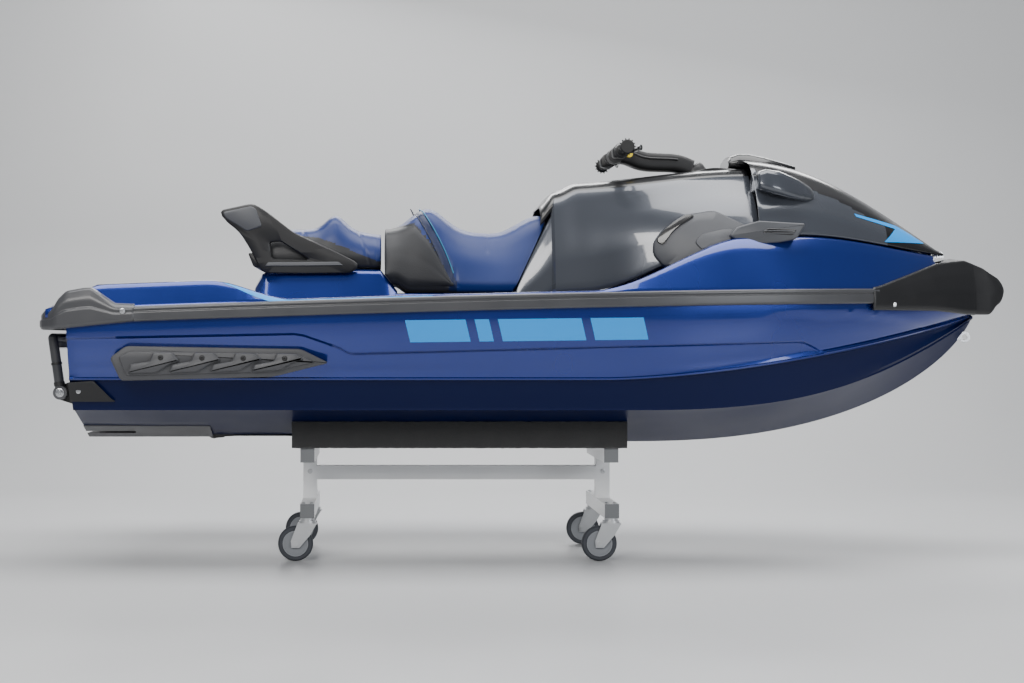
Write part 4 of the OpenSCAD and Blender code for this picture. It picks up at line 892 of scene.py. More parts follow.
# ---------------------------------------------------------------- deck
XS_DECK = np.unique(np.concatenate([
    np.linspace(DECK_AFT_X, -1045, 20), [-1040, -1012, -1009], np.linspace(-1000, 370, 52),
    np.linspace(380, 559, 10), [560.5], np.linspace(575, 799, 10), [800.0, 1310.5],
    np.linspace(815, 1300, 24), np.linspace(1325, STEM_X, 20)]))


def deck_section(xs):
    """Port half from the middle out to the rail: pedestal, floor, well side, side deck,
    gunwale and topside down to the rail's centre line."""
    xs = np.asarray(xs, float)
    gz, gy, so, rz = gun_z(xs), gun_y(xs), side_y(xs), rail_z(xs)
    open_well = xs < 560.2
    fz = np.where(open_well, floor_z(xs), gz - 1)
    ped = np.where(xs < -1011, PLATFORM_Z, np.where(open_well, np.maximum(gz, PEDESTAL_Z) + 0 * xs,
        gz + 1))
    ped = np.where((xs >= -1011) & (xs < -300), PEDESTAL_Z, ped)
    wy = np.where(open_well, well_out(xs), np.minimum(bin_y(xs) + 30, gy - 30))
    py = np.where(open_well, PEDESTAL_Y, np.minimum(bin_y(xs), gy - 40))
    py = np.maximum(py, 8)
    keys = [np.stack([0 * xs, ped], 1), np.stack([np.where(open_well, py - 10, py - 0.5), ped], 1),
            np.stack([py, fz], 1), np.stack([np.maximum(wy, py + 8), fz], 1),
            np.stack([np.maximum(wy + np.where(open_well, 12, 4), py + 12),
                      gz - np.where(open_well, 6, 0)], 1),
            np.stack([gy, gz], 1),
            np.stack([lerp(so, gy, 0.75), lerp(rz + 26, gz, 0.8)], 1),
            np.stack([so, rz + 26], 1), np.stack([so, rz], 1)]
    k = np.stack(keys, 1)
    rad = np.array([0, 14, 26, 34, 12, 16, 22, 16, 0.0])
    return rounded(k, rad[None], 6)


def build_deck():
    """The deck's outside, from the starboard rail over to the port rail, with the hood's
    opening left out."""
    half = deck_section(XS_DECK)
    lid_z = np.where(XS_DECK < 0, curve(XS_DECK, GUARD_TOP, 6) - 3, curve(XS_DECK, BUMP_HIGH, 10) - 8)
    held = (XS_DECK < -1545) | (XS_DECK > 1440)
    half[..., 1] = np.where(held[:, None], np.minimum(half[..., 1], lid_z[:, None]), half[..., 1])
    pts = at_x(XS_DECK, halves(half))
    mid = face_middles(pts)
    x, y = mid[..., 0], np.abs(mid[..., 1])
    hole = (x > 800.2) & (x < 1310.3) & (y < bin_y(x) - 1.2)
    hole |= (x > -660) & (x < -96) & (y < 190) & (mid[..., 2] > 900)
    ob = grid("deck_shell", pts, keep=~hole, outward=False, angle=30)
    wear(ob, "deck_blue", "black_gloss")
    return finish_edges(ob, thick=5)


def build_seat_base():
    """The raised moulding under the rear seat: eased boxes that grow out of the deck."""
    xs = np.array([-1010, -985, -955, -900, -700, -560, -530, -500.0])
    f = np.array([0.3, 0.8, 0.97, 1.0, 1.0, 0.97, 0.55, 0.1])
    top = lerp(PEDESTAL_Z, REAR_Z, f)
    w = np.array([148, 165, 176, 184, 186, 188, 190, 190.0])
    keys = corners(xs, (0, PLATFORM_Z), (231, PLATFORM_Z), (231, PEDESTAL_Z - 22), (w, top), (0, top))
    half = rounded(keys, [0, 1, 24, 22, 0.0], 7)
    sec = np.concatenate([half, half[:, -2:0:-1] * [-1.0, 1.0]], 1)
    ob = grid("seat_base", at_x(xs, sec), wrap_v=True, caps=True, angle=30)
    return wear(finish_edges(ob, bevel=5), "deck_blue")


def shell_out(x, z):
    """Half breadth of the deck's side at a height: upright by the rail, then leaning in."""
    so, gy, rz, gz = side_y(x), gun_y(x), rail_z(x), gun_z(x)
    z1, z2 = rz + 26, lerp(rz + 26, gz, 0.8)
    y2 = lerp(so, gy, 0.75)
    return np.where(z < z1, so, np.where(z < z2, lerp(so, y2,
        np.clip((z - z1) / np.maximum(z2 - z1, 1), 0, 1)),
                                         lerp(y2, gy, np.clip((z - z2) / np.maximum(gz - z2, 1), 0, 1))))


def side_stripe(name, top, thick, x0, x1, mat, surface=None, lift=0.8, n=70):
    """A stripe on both flanks: top(x) is its upper edge, thick(x) its depth; its ends are cut
    aslant. Points lie on the shell's side."""
    surface = surface or shell_out
    u, v = np.linspace(0, 1, n), np.linspace(0, 1, 7)
    def fn(a, b):
        x = lerp(x0, x1, a) + (b - 0.5) * 18
        z = top(x) - b * thick(x)
        return np.stack([x, surface(x, z), z], -1)
    port = surface_strip(name + "_p", fn, u, v, lift=lift)
    p = np.zeros(len(port.data.vertices) * 3)
    port.data.vertices.foreach_get("co", p)
    star_pts = mirror_y(p.reshape(-1, 3) * 1000)
    faces = [list(f.vertices)[::-1] for f in port.data.polygons]
    star = new_object(name + "_s", star_pts, faces)
    ob = join(name, [port, star])
    return wear(ob, mat)


# ---------------------------------------------------------------- rails and bumpers
def band_keys(xs, offs):
    """Outline of a band on the shell: (out, up) pairs from the shell and the rail's middle."""
    return np.stack([np.stack([side_y(xs) + o, rail_z(xs) + u], 1) for o, u in offs], 1)


def build_rails():
    """The rub rail: a grooved section carried along both sides."""
    xs = np.linspace(-1386, 1172, 90)
    offs = [(-3, -26), (17, -26), (22, -21), (22, 4), (18, 7), (18, 11), (22, 14), (21, 22), (15, 26),
            (-3, 26)]
    sec = rounded(band_keys(xs, offs), [0, 4, 4, 2, 2, 2, 2, 4, 4, 0.0], 4)
    port = grid("rail_p", at_x(xs, sec), wrap_v=True, caps=True)
    star = grid("rail_s", mirror_y(at_x(xs, sec)), wrap_v=True, caps=True)
    ob = join("rub_rail_bands", [port, star])
    return wear(finish_edges(ob), "rail_grey")


BUMP_LOW = [(1150, 884), (1172, 884), (1300, 884), (1414, 884), (1555, 872), (1664, 872), (1690, 905),
            (1712, 912), (1726, 952)]
BUMP_HIGH = [(1150, 964), (1172, 968), (1430, 1056), (1560, 1071), (1645, 1046), (1716, 1012),
             (1726, 1008)]


def build_bow_bumper():
    """The bow guard: an angular section carried round the bow in plan, from one side to the
    other, with a lid that runs in to the middle."""
    x0 = np.linspace(1150.0, 1590.0, 56)
    turn = rounded(np.array([[[1600.0, float(rail_y(1600.0)) + 3], [1668, 84], [1708, 58],
                              [BOW_X - 4, 40], [BOW_X - 3, 0]]]),
                   [0, 20, 16, 8, 0], 7)[0]
    x = np.concatenate([x0, turn[:, 0]])
    y = np.concatenate([rail_y(x0) + 3, turn[:, 1]])
    low, high = curve(x, BUMP_LOW, 10), curve(x, BUMP_HIGH, 10)
    lean = np.clip(high - (rail_z(x) + 30), 0, None) * 0.42
    nose = ramp(x, 1600, 1724)
    k = 1 - nose
    dx = nose * 0.9
    def key(inset, z):
        return np.stack([x - inset * dx, np.maximum(y - inset * (0.35 + 0.65 * k), 0), z], 1)
    keys = [key(46, low + 2), key(10, low), key(1, low + 14), key(0, lerp(low, high, 0.42)),
            key(1 + lean * 0.5, lerp(low, high, 0.72)), key(5 + lean, high - 5), key(14 + lean, high)]
    inner_x = np.minimum(x - 20, 1560)
    far = ramp(x, 1430, 1560)
    edge = keys[-1]
    for t, up in ((0.5, 5), (1.0, 9)):
        tgt = np.stack([inner_x, 0 * x, high + up], 1)
        keys.append(edge + (tgt - edge) * (t * far)[:, None])
    pts = rounded(np.stack(keys, 1), [0, 8, 8, 14, 10, 9, 10, 20, 0.0], 5)
    both_sides = np.concatenate([pts, mirror_y(pts[-2::-1])], 0)
    ob = grid("bow_guard", both_sides, outward=False, angle=28)
    c = ob.data.polygons[len(ob.data.polygons) // 8]
    if c.normal.y * c.center.y < 0:
        ob.data.flip_normals()
    finish_edges(ob, thick=7)
    wear(ob, "bumper_black")
    parts = [ob]
    for sgn in (1, -1):
        parts.append(wear(bolt("guard_bolt", (1232, sgn * (float(rail_y(1232)) + 2), 904), (0.12, sgn, 0),
                               r=6, h=3), "steel"))
    return parts


GUARD_TOP = [(-1726, 884), (-1690, 888), (-1664, 892), (-1647, 921), (-1619, 947), (-1560, 957),
             (-1532, 958),
             (-1453, 906), (-1386, 904)]


def build_stern_bumper():
    """The stern guard: a band round the stern with a raised top edge and chamfered corners."""
    xs = np.concatenate([np.linspace(-1386, -1530, 16), np.linspace(-1536, -1689, 22)])
    y = side_y(xs) + 22 - 26 * ramp(-xs, 1640, 1700) ** 1.5
    corner = [(-1704, y[-1] - 10), (-1714, y[-1] - 30), (-1720, y[-1] - 70), (-1722, y[-1] - 160)]
    px = np.concatenate([xs, [c[0] for c in corner], [-1723]])
    py = np.concatenate([y, [c[1] for c in corner], [0]])
    rz = rail_z(np.maximum(px, -1700))
    top = np.maximum(curve(px, GUARD_TOP, 6), rz + 12)
    low = rz - curve(px, [(-1800, 42), (-1650, 42), (-1520, 34), (-1386, 26)], 12)
    back = ramp(-px, 1690, 1716)
    def key(inset, z):
        return np.stack([px + inset * back, np.maximum(py - inset * (1 - back * 0.7), 0), z], 1)
    keys = [key(34, low + 1), key(8, low), key(0, low + 10), key(0, lerp(low, top, 0.45)),
            key(5, lerp(low, top, 0.5)),
            key(4, lerp(low, top, 0.72)), key(16, top - 6), key(30, top), key(62, top + 1)]
    pts = rounded(np.stack(keys, 1), [0, 6, 8, 3, 3, 10, 12, 8, 0.0], 5)
    both_sides = np.concatenate([pts, mirror_y(pts[-2::-1])], 0)
    ob = grid("stern_guard", both_sides, outward=False, angle=28)
    c = ob.data.polygons[5]
    if c.normal.y * c.center.y < 0:
        ob.data.flip_normals()
    finish_edges(ob, thick=6)
    wear(ob, "rail_grey")
    parts = [ob]
    for sgn in (1, -1):
        parts.append(wear(bolt("stern_bolt", (-1424, sgn * (float(rail_y(-1424)) - 1), 878), (0, sgn, 0),
                               r=7, h=3), "steel"))
    return parts


def build_sponsons():
    """Side blades: an eased plate with a raised field and four swept fins, each with a bolt."""
    x0, z0 = STERN_X + 257, KEEL_Z + 236
    plate = outline2d([(x0, z0 + 77), (x0 + 37, z0), (x0 + 548, z0 + 13), (x0 + 735, z0 + 60),
                       (x0 + 642, z0 + 107), (x0 + 54, z0 + 117)], 14)
    parts = []
    for s in (1, -1):
        rim = slab("blade", plate, s * 540, s * 586, 4)
        wear(rim, "sponson_grey")
        parts.append(rim)
        inner = outline2d([(x0 + 30, z0 + 80), (x0 + 56, z0 + 17), (x0 + 545, z0 + 29),
                           (x0 + 690, z0 + 62), (x0 + 630, z0 + 92), (x0 + 66, z0 + 100)], 10)
        lip = slab("blade_lip", inner, s * 575, s * 593, 5)
        wear(lip, "sponson_grey")
        parts.append(lip)
        for i in range(4):
            a = x0 + 62 + i * 138
            fin = outline2d([(a, z0 + 24 + i * 2), (a + 96, z0 + 27 + i * 3), (a + 150, z0 + 60 + i * 2),
                             (a + 176, z0 + 66 + i * 2), (a + 150, z0 + 97 - i * 2),
                             (a + 84, z0 + 96 - i), (a + 74, z0 + 66), (a + 10, z0 + 56)], 9)
            f = slab("fin", fin, s * 585, s * 607, 7)
            parts.append(wear(f, "sponson_grey"))
            b = bolt("fin_bolt", (a + 112, s * 606, z0 + 78 - i), (0, s, 0), r=7.5, h=4)
            parts.append(wear(b, "black_plastic"))
    return join_styled("sponson_blades", parts)


def join_styled(name, parts):
    """Joins pieces and merges their material slots by name."""
    ob = join(name, parts)
    me = ob.data
    names = [KEY[m.name] for m in me.materials]
    order = list(dict.fromkeys(names))
    remap = np.array([order.index(n) for n in names], np.int32)
    idx = np.zeros(len(me.polygons), np.int32)
    me.polygons.foreach_get("material_index", idx)
    me.materials.clear()
    for n in order:
        me.materials.append(M[n])
    me.polygons.foreach_set("material_index", remap[idx])
    return ob


# ---------------------------------------------------------------- console
GLOVE_X0, GLOVE_X1 = 74.0, 244.0
COVER_X0, COVER_X1 = GLOVE_X0 - 6, GLOVE_X1 + 32  # the cover's opening, with room for the hinge
COVER_HALF = 104.5


def panel_section(xs):
    """Side panel from its foot on the deck up to the console top: foot, swell, hollow, edge."""
    edge_y = 176
    cut = np.clip((xs + 84) / 141, 0, 1)
    toe = xs < 60
    lo_y = np.where(toe, PEDESTAL_Y, con_low_y(xs) + 18)
    lo_z = np.where(toe, lerp(PEDESTAL_Z - 34, float(gun_z(60.0)) + 3, ramp(xs, -40, 60)), gun_z(xs) + 3)
    z_top = np.where(toe, PEDESTAL_Z - 8 + 300 * cut ** 0.9, con_z(xs) - 30)
    z_top = np.minimum(z_top, con_z(np.maximum(xs, 60)) - 30)
    z_top = np.maximum(z_top, lo_z + 12)
    share = np.clip((z_top - lo_z) / np.maximum(con_z(np.maximum(xs, 60)) - 30 - lo_z, 1), 0, 1)
    hi_y = lerp(lo_y, edge_y, share ** 1.1)
    def key(t, out):
        return np.stack([lerp(lo_y, hi_y, t) + out * share, lerp(lo_z, z_top, t)], 1)
    bulge = 16 + 10 * ramp(xs, 100, 300)
    keys = np.stack([key(0, 0), key(0.08, 6), key(0.42, bulge), key(0.62, bulge - 2), key(0.9, 4),
                     key(1, -4)], 1)
    return rounded(keys, [0, 10, 60, 40, 12, 0.0], 7)


def panel_y(x, z):
    """Half breadth of the side panel at a height, read off its section."""
    x, z = np.broadcast_arrays(np.asarray(x, float), np.asarray(z, float))
    flat_x = x.ravel()
    sec = panel_section(flat_x)
    out = np.empty(flat_x.size)
    zz = z.ravel()
    for i in range(flat_x.size):
        out[i] = np.interp(zz[i], sec[i, :, 1], sec[i, :, 0])
    return out.reshape(x.shape)


def build_side_panels():
    """Gloss side panels from the toe beside the seat forward to the hood."""
    xs = np.unique(np.concatenate([np.linspace(-80, 60, 14), np.linspace(60, 757, 41)]))
    port = at_x(xs, panel_section(xs))
    a = grid("panel_p", port, outward=False, flip=True, angle=25)
    b = grid("panel_s", mirror_y(port), outward=False, angle=25)
    ob = join("side_panel_pair", [a, b])
    return wear(finish_edges(ob, thick=4), "slate_gloss")


def build_console_top():
    """The black console cover: a crowned section carried forward, cut away over the glove box."""
    xs = np.unique(np.concatenate([np.linspace(12, 68, 8), [COVER_X0, COVER_X1],
                                   np.linspace(76, 757, 45)]))
    top = con_z(np.maximum(xs, 60)) - 58 * (1 - ramp(xs, 0, 66))
    rise = 8 * ramp(xs, 560, 640) * (1 - ramp(xs, 640, 742))
    keys = corners(xs, (0, top + 2 + rise), (101, top + 2 + rise), (104, top), (132, top - 6),
                   (160, top - 22), (178, top - 44), (174, top - 70))
    half = rounded(keys, [0, 1, 1, 18, 14, 12, 0.0], 6)
    pts = at_x(xs, halves(half))
    mid = face_middles(pts)
    hole = (mid[..., 0] > COVER_X0 + 0.2) & (mid[...,
        0] < COVER_X1 - 0.2) & (np.abs(mid[..., 1]) < COVER_HALF)
    ob = grid("console_cover", pts, keep=~hole, outward=False, angle=28)
    return wear(finish_edges(ob, thick=5), "black_gloss")


def build_glove_box():
    """The glove box liner, an open tray, and its lid with a raised centre."""
    tray = outline2d([(GLOVE_X0 - 4, -94), (GLOVE_X1 + 4, -94), (GLOVE_X1 + 4, 94), (GLOVE_X0 - 4, 94)],
                     16)
    rows = [(1.0, 1308), (0.99, 1300), (0.96, 1146), (0.9, 1140), (0.02, 1140)]
    c = np.array([(GLOVE_X0 + GLOVE_X1) / 2, 0])
    pts = np.stack([np.column_stack([lerp(c, tray, f), np.full(len(tray), z)]) for f, z in rows])
    liner = grid("glove_liner", pts, wrap_v=True, outward=False)
    wear(finish_edges(liner, thick=2.5, weighted=False), "black_plastic")
    xs = np.linspace(GLOVE_X0 + 1, GLOVE_X1 + 3, 16)
    z = con_z(xs)
    keys = corners(xs, (0, z - 24), (94, z - 24), (96, z - 4), (78, z + 2), (60, z + 6), (0, z + 7))
    half = rounded(keys, [0, 4, 6, 8, 10, 0.0], 5)
    sec = np.concatenate([half, half[:, -2:0:-1] * [-1.0, 1.0]], 1)
    lid = grid("glove_lid_skin", at_x(xs, sec), wrap_v=True, caps=True, angle=30)
    wear(finish_edges(lid, bevel=2), "black_gloss")
    return liner, lid


SCOOP = [(399, 1122), (427, 1164), (483, 1206), (515, 1223), (609, 1237), (692, 1191), (738, 1164),
         (651, 1107), (515, 1052), (459, 1036), (430, 1040), (399, 1080)]


def build_intakes():
    """Side air scoops: a dark grey wedge on each panel with a black mouth and a raised field."""
    parts = []
    for s in (1, -1):
        for name, outline, lift, depth, mat in (
                ("scoop", SCOOP, 30, 60, "grey_plastic"),
                ("scoop_mouth", [(404, 1126), (430, 1166), (486, 1208), (520, 1226), (546, 1219),
                                 (498, 1190), (452, 1148), (428, 1108)], 34, 12, "black_gloss"),
                ("scoop_face", [(530, 1122), (556, 1150), (640, 1168), (684, 1162), (640, 1118),
                                (560, 1086)], 36, 20, "grey_plastic")):
            o = outline2d(outline, 16, 6)
            d = dense(o, 96)
            c = d.mean(0)
            f = np.array([1.0, 0.995, 0.975, 0.93, 0.6, 0.02])
            out = np.array([-depth, 0.35, 0.85, 1.0, 1.06, 1.08])
            rows = []
            for k, (ff, oo) in enumerate(zip(f, out)):
                p = c + (d - c) * ff
                y = panel_y(np.clip(p[:, 0], -80, 742), p[:, 1])
                y = y + (oo if k == 0 else lift * oo)
                rows.append(np.column_stack([p[:, 0], s * y, p[:, 1]]))
            ob = grid(name, np.stack(rows), wrap_v=True, caps=True, angle=30)
            parts.append(wear(ob, mat))
    return join_styled("air_scoops", parts)


def build_vent():
    """The slotted vent that fills the gap between console, hood and deck on each side."""
    parts = []
    for s in (1, -1):
        o = outline2d([(640, 1140), (668, 1170), (742, 1192), (905, 1182), (872, 1128), (820, 1118),
                       (700, 1108)], 12)
        slot = outline2d([(752, 1148), (770, 1166), (872, 1162), (860, 1140)], 8)
        y = 424
        parts.append(wear(slab("vent", o, s * (y - 90), s * y, 6), "grey_plastic"))
        parts.append(wear(slab("vent_slot", slot, s * (y - 20), s * (y + 1.5), 3), "black_gloss"))
        for k in range(2):
            z = 1147 + k * 8
            parts.append(wear(slab("vent_bar", [(758, z), (864, z), (864, z + 2.6), (758, z + 2.6)],
                                   s * y, s * (y + 4), 0.8), "grey_plastic"))
    return join_styled("side_vents", parts)


# ---------------------------------------------------------------- hood, instruments and mirrors
def hood_section(xs):
    """Hood from its middle down to its lower edge: crown, shoulder crease, flank, lip."""
    b, t, w = hood_base(xs), hood_top(xs), hood_y(xs)
    crown = 10 * (1 - hood_t(xs))
    keys = corners(xs, (0, t), (w * 0.24, t - 3 - crown * 0.2), (w * 0.55, t - 26),
                   (w * 0.80, lerp(b, t, 0.62) - 4), (w * 0.95, lerp(b, t, 0.30)), (w, b + 8), (w - 4, b))
    return rounded(keys, [0, 30, 34, 30, 26, 8, 0.0], 7)


XS_HOOD = np.unique(np.concatenate([np.linspace(HOOD_X0, 1430, 44), np.linspace(1436, NOSE_X - 10, 12)]))


def build_hood():
    """The hood's skin: slate flanks under a black upper band and a black nose."""
    half = hood_section(XS_HOOD)
    sec = halves(half)
    ob = grid("hood_skin", at_x(XS_HOOD, sec), outward=False, angle=24, flip=True)
    c = ob.data.polygons[len(ob.data.polygons) // 2]
    if c.normal.z < 0:
        ob.data.flip_normals()
    wear(ob, "slate_gloss", "black_gloss")
    region(ob, lambda x, y, z: z > table(x, [(740, 1372), (900, 1330), (1040, 1285), (1180, 1215),
        (1330, 1150), (1500, 1080)]), 1)
    region(ob, lambda x, y, z: x > 1240, 1)
    finish_edges(ob, thick=5)
    return ob


def hood_side(x, z):
    """Half breadth of the hood at a height, read off its section."""
    x, z = np.broadcast_arrays(np.asarray(x, float), np.asarray(z, float))
    sec = hood_section(x.ravel())
    y = [np.interp(-zz, -r[:, 1], r[:, 0]) for zz, r in zip(z.ravel(), sec)]
    return np.array(y).reshape(x.shape)


CHEVRON = [  # corner pairs: upper start, upper end, lower start, lower end
    ((1118, 1228), (1296, 1190), (1124, 1217), (1286, 1177)),
    ((1296, 1190), (1322, 1176), (1228, 1128), (1266, 1128)),
    ((1296, 1190), (1404, 1138), (1262, 1128), (1398, 1128)),
]


def build_hood_graphics():
    """Cyan chevrons: a thin bar along the flank, an arm turned back and a wedge at the nose."""
    parts = []
    for s in (1, -1):
        for a, b, c, d in CHEVRON:
            a, b, c, d = (np.array(q, float) for q in (a, b, c, d))
            def fn(u, v, a=a, b=b, c=c, d=d):
                u, v = u[..., None], v[..., None]
                p = lerp(lerp(a, b, u), lerp(c, d, u), v)
                z = np.maximum(p[..., 1], hood_base(p[..., 0]) + 12)
                return np.stack([p[..., 0], s * (hood_side(p[..., 0], z) + 1.2), z + 0.6], -1)
            st = surface_strip("chevron", fn, np.linspace(0, 1, 18), np.linspace(0, 1, 9), lift=0)
            if st.data.polygons[8].normal.y * s < 0:
                st.data.flip_normals()
            parts.append(wear(st, "accent_cyan"))
    return join_styled("hood_chevrons", parts)


def build_binnacle():
    """Instrument pod: a hooded housing with a sloped dark lens facing the rider."""
    xs = np.array([704, 712, 740, 780, 830, 900, 960.0])
    w = np.array([86, 94, 104, 106, 98, 74, 30.0])
    top = np.array([1440, 1452, 1462, 1461, 1452, 1436, 1422.0])
    low = np.array([1406, 1405, 1405, 1400, 1400, 1400, 1404.0])
    keys = corners(xs, (0, low), (w * 0.85, low), (w, lerp(low, top, 0.35)), (w * 0.82, top - 6),
                   (w * 0.3, top), (0, top))
    half = rounded(keys, [0, 10, 14, 14, 20, 0.0], 5)
    sec = np.concatenate([half, half[:, -2:0:-1] * [-1.0, 1.0]], 1)
    body = grid("pod", at_x(xs, sec), wrap_v=True, caps=True, angle=30)
    wear(body, "black_gloss", "lens_smoke")
    region(body, lambda x, y, z: x < 705.5, 1)
    return finish_edges(body, bevel=2)


def build_mirrors():
    """Mirror housings on the hood's shoulders: swept shells with a bright glass on the aft face."""
    parts = []
    for s in (1, -1):
        xs = np.array([752, 758, 780, 830, 900, 950, 964.0])
        a = np.array([236, 232, 226, 208, 190, 184, 190.0])
        b = np.array([372, 380, 388, 380, 344, 306, 290.0])
        z0 = 1290 + np.array([6, 0, -8, -20, -34, -38, -34.0])
        z1 = 1290 + np.array([70, 78, 84, 78, 54, 32, 20.0])
        keys = corners(xs, (a, z0 + 8), (b - 12, z0 + 14), (b, z0 + 30), (b - 16, z1), (a + 12, z1 + 6),
                       (a, z1 - 14))
        sec = rounded(keys, [16, 16, 14, 20, 20, 14.0], 5, closed=True)
        sec = sec * [s, 1.0]
        ob = grid("mirror_shell", at_x(xs, sec), wrap_v=True, caps=True, angle=32)
        parts.append(wear(ob, "slate_gloss"))
        g = sec[1].copy()
        g = g.mean(0) + (g - g.mean(0)) * 0.8
        glass = grid("mirror_glass", at_x(np.array([751.2, 750.6]),
                                          np.stack([g, g.mean(0) + (g - g.mean(0)) * 0.97])), wrap_v=True,
                                          caps=True)
        parts.append(wear(glass, "glass_silver"))
    return join_styled("mirror_pair", parts)


# ---------------------------------------------------------------- seats
def seat_section(xs):
    """Driver's seat from its middle down to its foot: crown, shoulder, flank, tuck."""
    z0, z1, w = seat_z0(xs), seat_top(xs), seat_mid(xs)
    foot = np.maximum(z0 + 4, np.where(xs < -500, lerp(REAR_Z, PEDESTAL_Z,
        np.clip((xs + 560) / 60, 0, 1)) + 2, 0))
    keys = corners(xs, (0, z1), (w * 0.55, z1 - 4), (w * 0.95, z1 - 22), (w + 17, z1 - 56),
                   (w + 46, lerp(z0, z1, 0.52)), (212, z0 + 34), (200, foot), (150, foot - 1))
    return rounded(keys, [0, 30, 34, 34, 70, 30, 14, 0.0], 8)


def seat_y(x, z):
    """Half breadth of the seat at a height."""
    sec = seat_section(np.atleast_1d(np.asarray(x, float)))
    return np.array([np.interp(zz, s[::-1, 1], s[::-1, 0]) for zz, s in zip(np.atleast_1d(z), sec)])


def build_driver_seat():
    """The saddle: crowned vinyl with a deep stripe over the bolster, charcoal rear sides, sewn
    channels sunk along its seams."""
    xs = np.unique(np.concatenate([np.linspace(-546, -500, 8), np.linspace(-500, 44, 96)]))
    pts = at_x(xs, seat_section(xs))
    x, y, z = pts[..., 0], pts[..., 1], pts[..., 2]
    x_cut = -84 + (z - 947) * 141 / 292 - 6
    x = np.where((z < 1232) & (x > x_cut), np.minimum(x, np.maximum(x_cut, -92)), x)
    d1 = np.abs(pts[..., 0] - seam_x(z, -452, -318)) + 400 * (z < seat_z0(x) + 20)
    d2 = np.abs(pts[..., 0] - seam_x(z, -420, -286)) + 400 * (z < seat_z0(x) + 20)
    d3 = np.abs(pts[..., 0] - (-176 + (z - 1100) * 0.1))
    sink = 3.4 * np.exp(-(d1 / 5) ** 2) + 3.4 * np.exp(-(d2 / 5) ** 2) + 2.4 * np.exp(-(d3
        / 5) ** 2) * (z > 1090)
    puff = 3.0 * np.cos(np.clip((z - 1080) / 90, -1, 1) * np.pi / 2) * ramp(y, 120, 190)
    r = np.stack([y, z - (seat_z0(x) + 60)], -1)
    r /= np.maximum(np.linalg.norm(r, axis=2, keepdims=True), 1)
    y2 = y + (puff - sink) * r[..., 0] * (y > 1)
    z2 = z - sink * np.abs(r[..., 1])
    port = np.stack([x, y2, z2], -1)
    star = mirror_y(port[:, ::-1])
    full = np.concatenate([star, port[:, 1:]], 1)
    ob = grid("saddle", full, wrap_v=True, caps=True, angle=60)
    wear(ob, "seat_blue", "seat_deep", "seat_charcoal")
    region(ob, lambda x, y, z: (x < seam_x(z, -420, -286)) & (x > seam_x(z, -452, -318)), 1)
    region(ob, lambda x, y, z: (x < seam_x(z, -452, -318)) & (z < seat_side_top(x)), 2)
    region(ob, lambda x, y, z: (np.abs(y) < 60) & (x > -330) & (x < -176) & (z > 1150), 1)
    sub = ob.modifiers.new("round", "SUBSURF")
    sub.levels = sub.render_levels = 1
    return ob


def seam_x(z, top_x, low_x):
    """A seam that leans forward as it runs down the side, with a slight bow."""
    t = np.clip((1265 - z) / 290, 0, 1)
    return lerp(top_x, low_x, t) + 14 * np.sin(np.pi * t)


def seat_side_top(x):
    return table(x, [(-560, 1180), (-500, 1192), (-440, 1200), (-380, 1130), (-330, 1040), (-300, 980)])


def seam_trim(name, fn_x, z_from, z_to, mat, r=2.2, lift=1.4):
    """Piping sewn along a seam over the top of the seat from one foot to the other."""
    zs = np.concatenate([np.linspace(z_from, z_to, 30)])
    x = fn_x(zs)
    y = seat_y(x, zs) + lift
    port = np.column_stack([x, y, zs])
    xt = x[-1]
    sec = seat_section(np.array([xt]))[0]
    over = sec[sec[:, 1] > zs[-1] + 1]
    half = np.column_stack([np.full(len(over), xt), over[:, 0] + lift * over[:, 0] / 150,
                            over[:, 1] + lift * 0.4])
    half = half[half[:, 1] < y[-1]]
    path = np.vstack([port, half[::-1], mirror_y(half[1:]), mirror_y(port[::-1])])
    path = path[::2]
    return wear(tube(name, path, r, sides=8), mat)


def build_knee_pads():
    """Charcoal side pads: crowned, with an edge seam, over the rear of the saddle's flanks."""
    parts = []
    for s in (1, -1):
        xs = np.linspace(-540, -300, 30)
        hi = seat_side_top(xs) - 8
        lo = seat_z0(xs) + 26
        hi = np.maximum(hi, lo + 10)
        v = np.linspace(0, 1, 16)
        zz = lerp(lo[:, None], hi[:, None], v[None])
        yy = np.stack([seat_y(xs, zz[:, j]) for j in range(len(v))], 1)
        u = np.linspace(0, 1, len(xs))[:, None]
        crown = 9 * (np.sin(np.pi * v)[None] * np.sin(np.pi * u)) ** 0.45
        groove = 1.8 * np.exp(-((v[None] - 0.5) / 0.05) ** 2)
        outer = np.stack([np.broadcast_to(xs[:, None], zz.shape), yy + 2.5 + crown - groove, zz], -1)
        inner = outer.copy()
        inner[..., 1] = yy - 6
        loop = np.concatenate([outer, inner[:, ::-1]], 1) * [1, s, 1]
        ob = grid("pad", loop, wrap_v=True, caps=True, angle=50)
        parts.append(wear(ob, "seat_charcoal"))
    return join_styled("side_pads", parts)


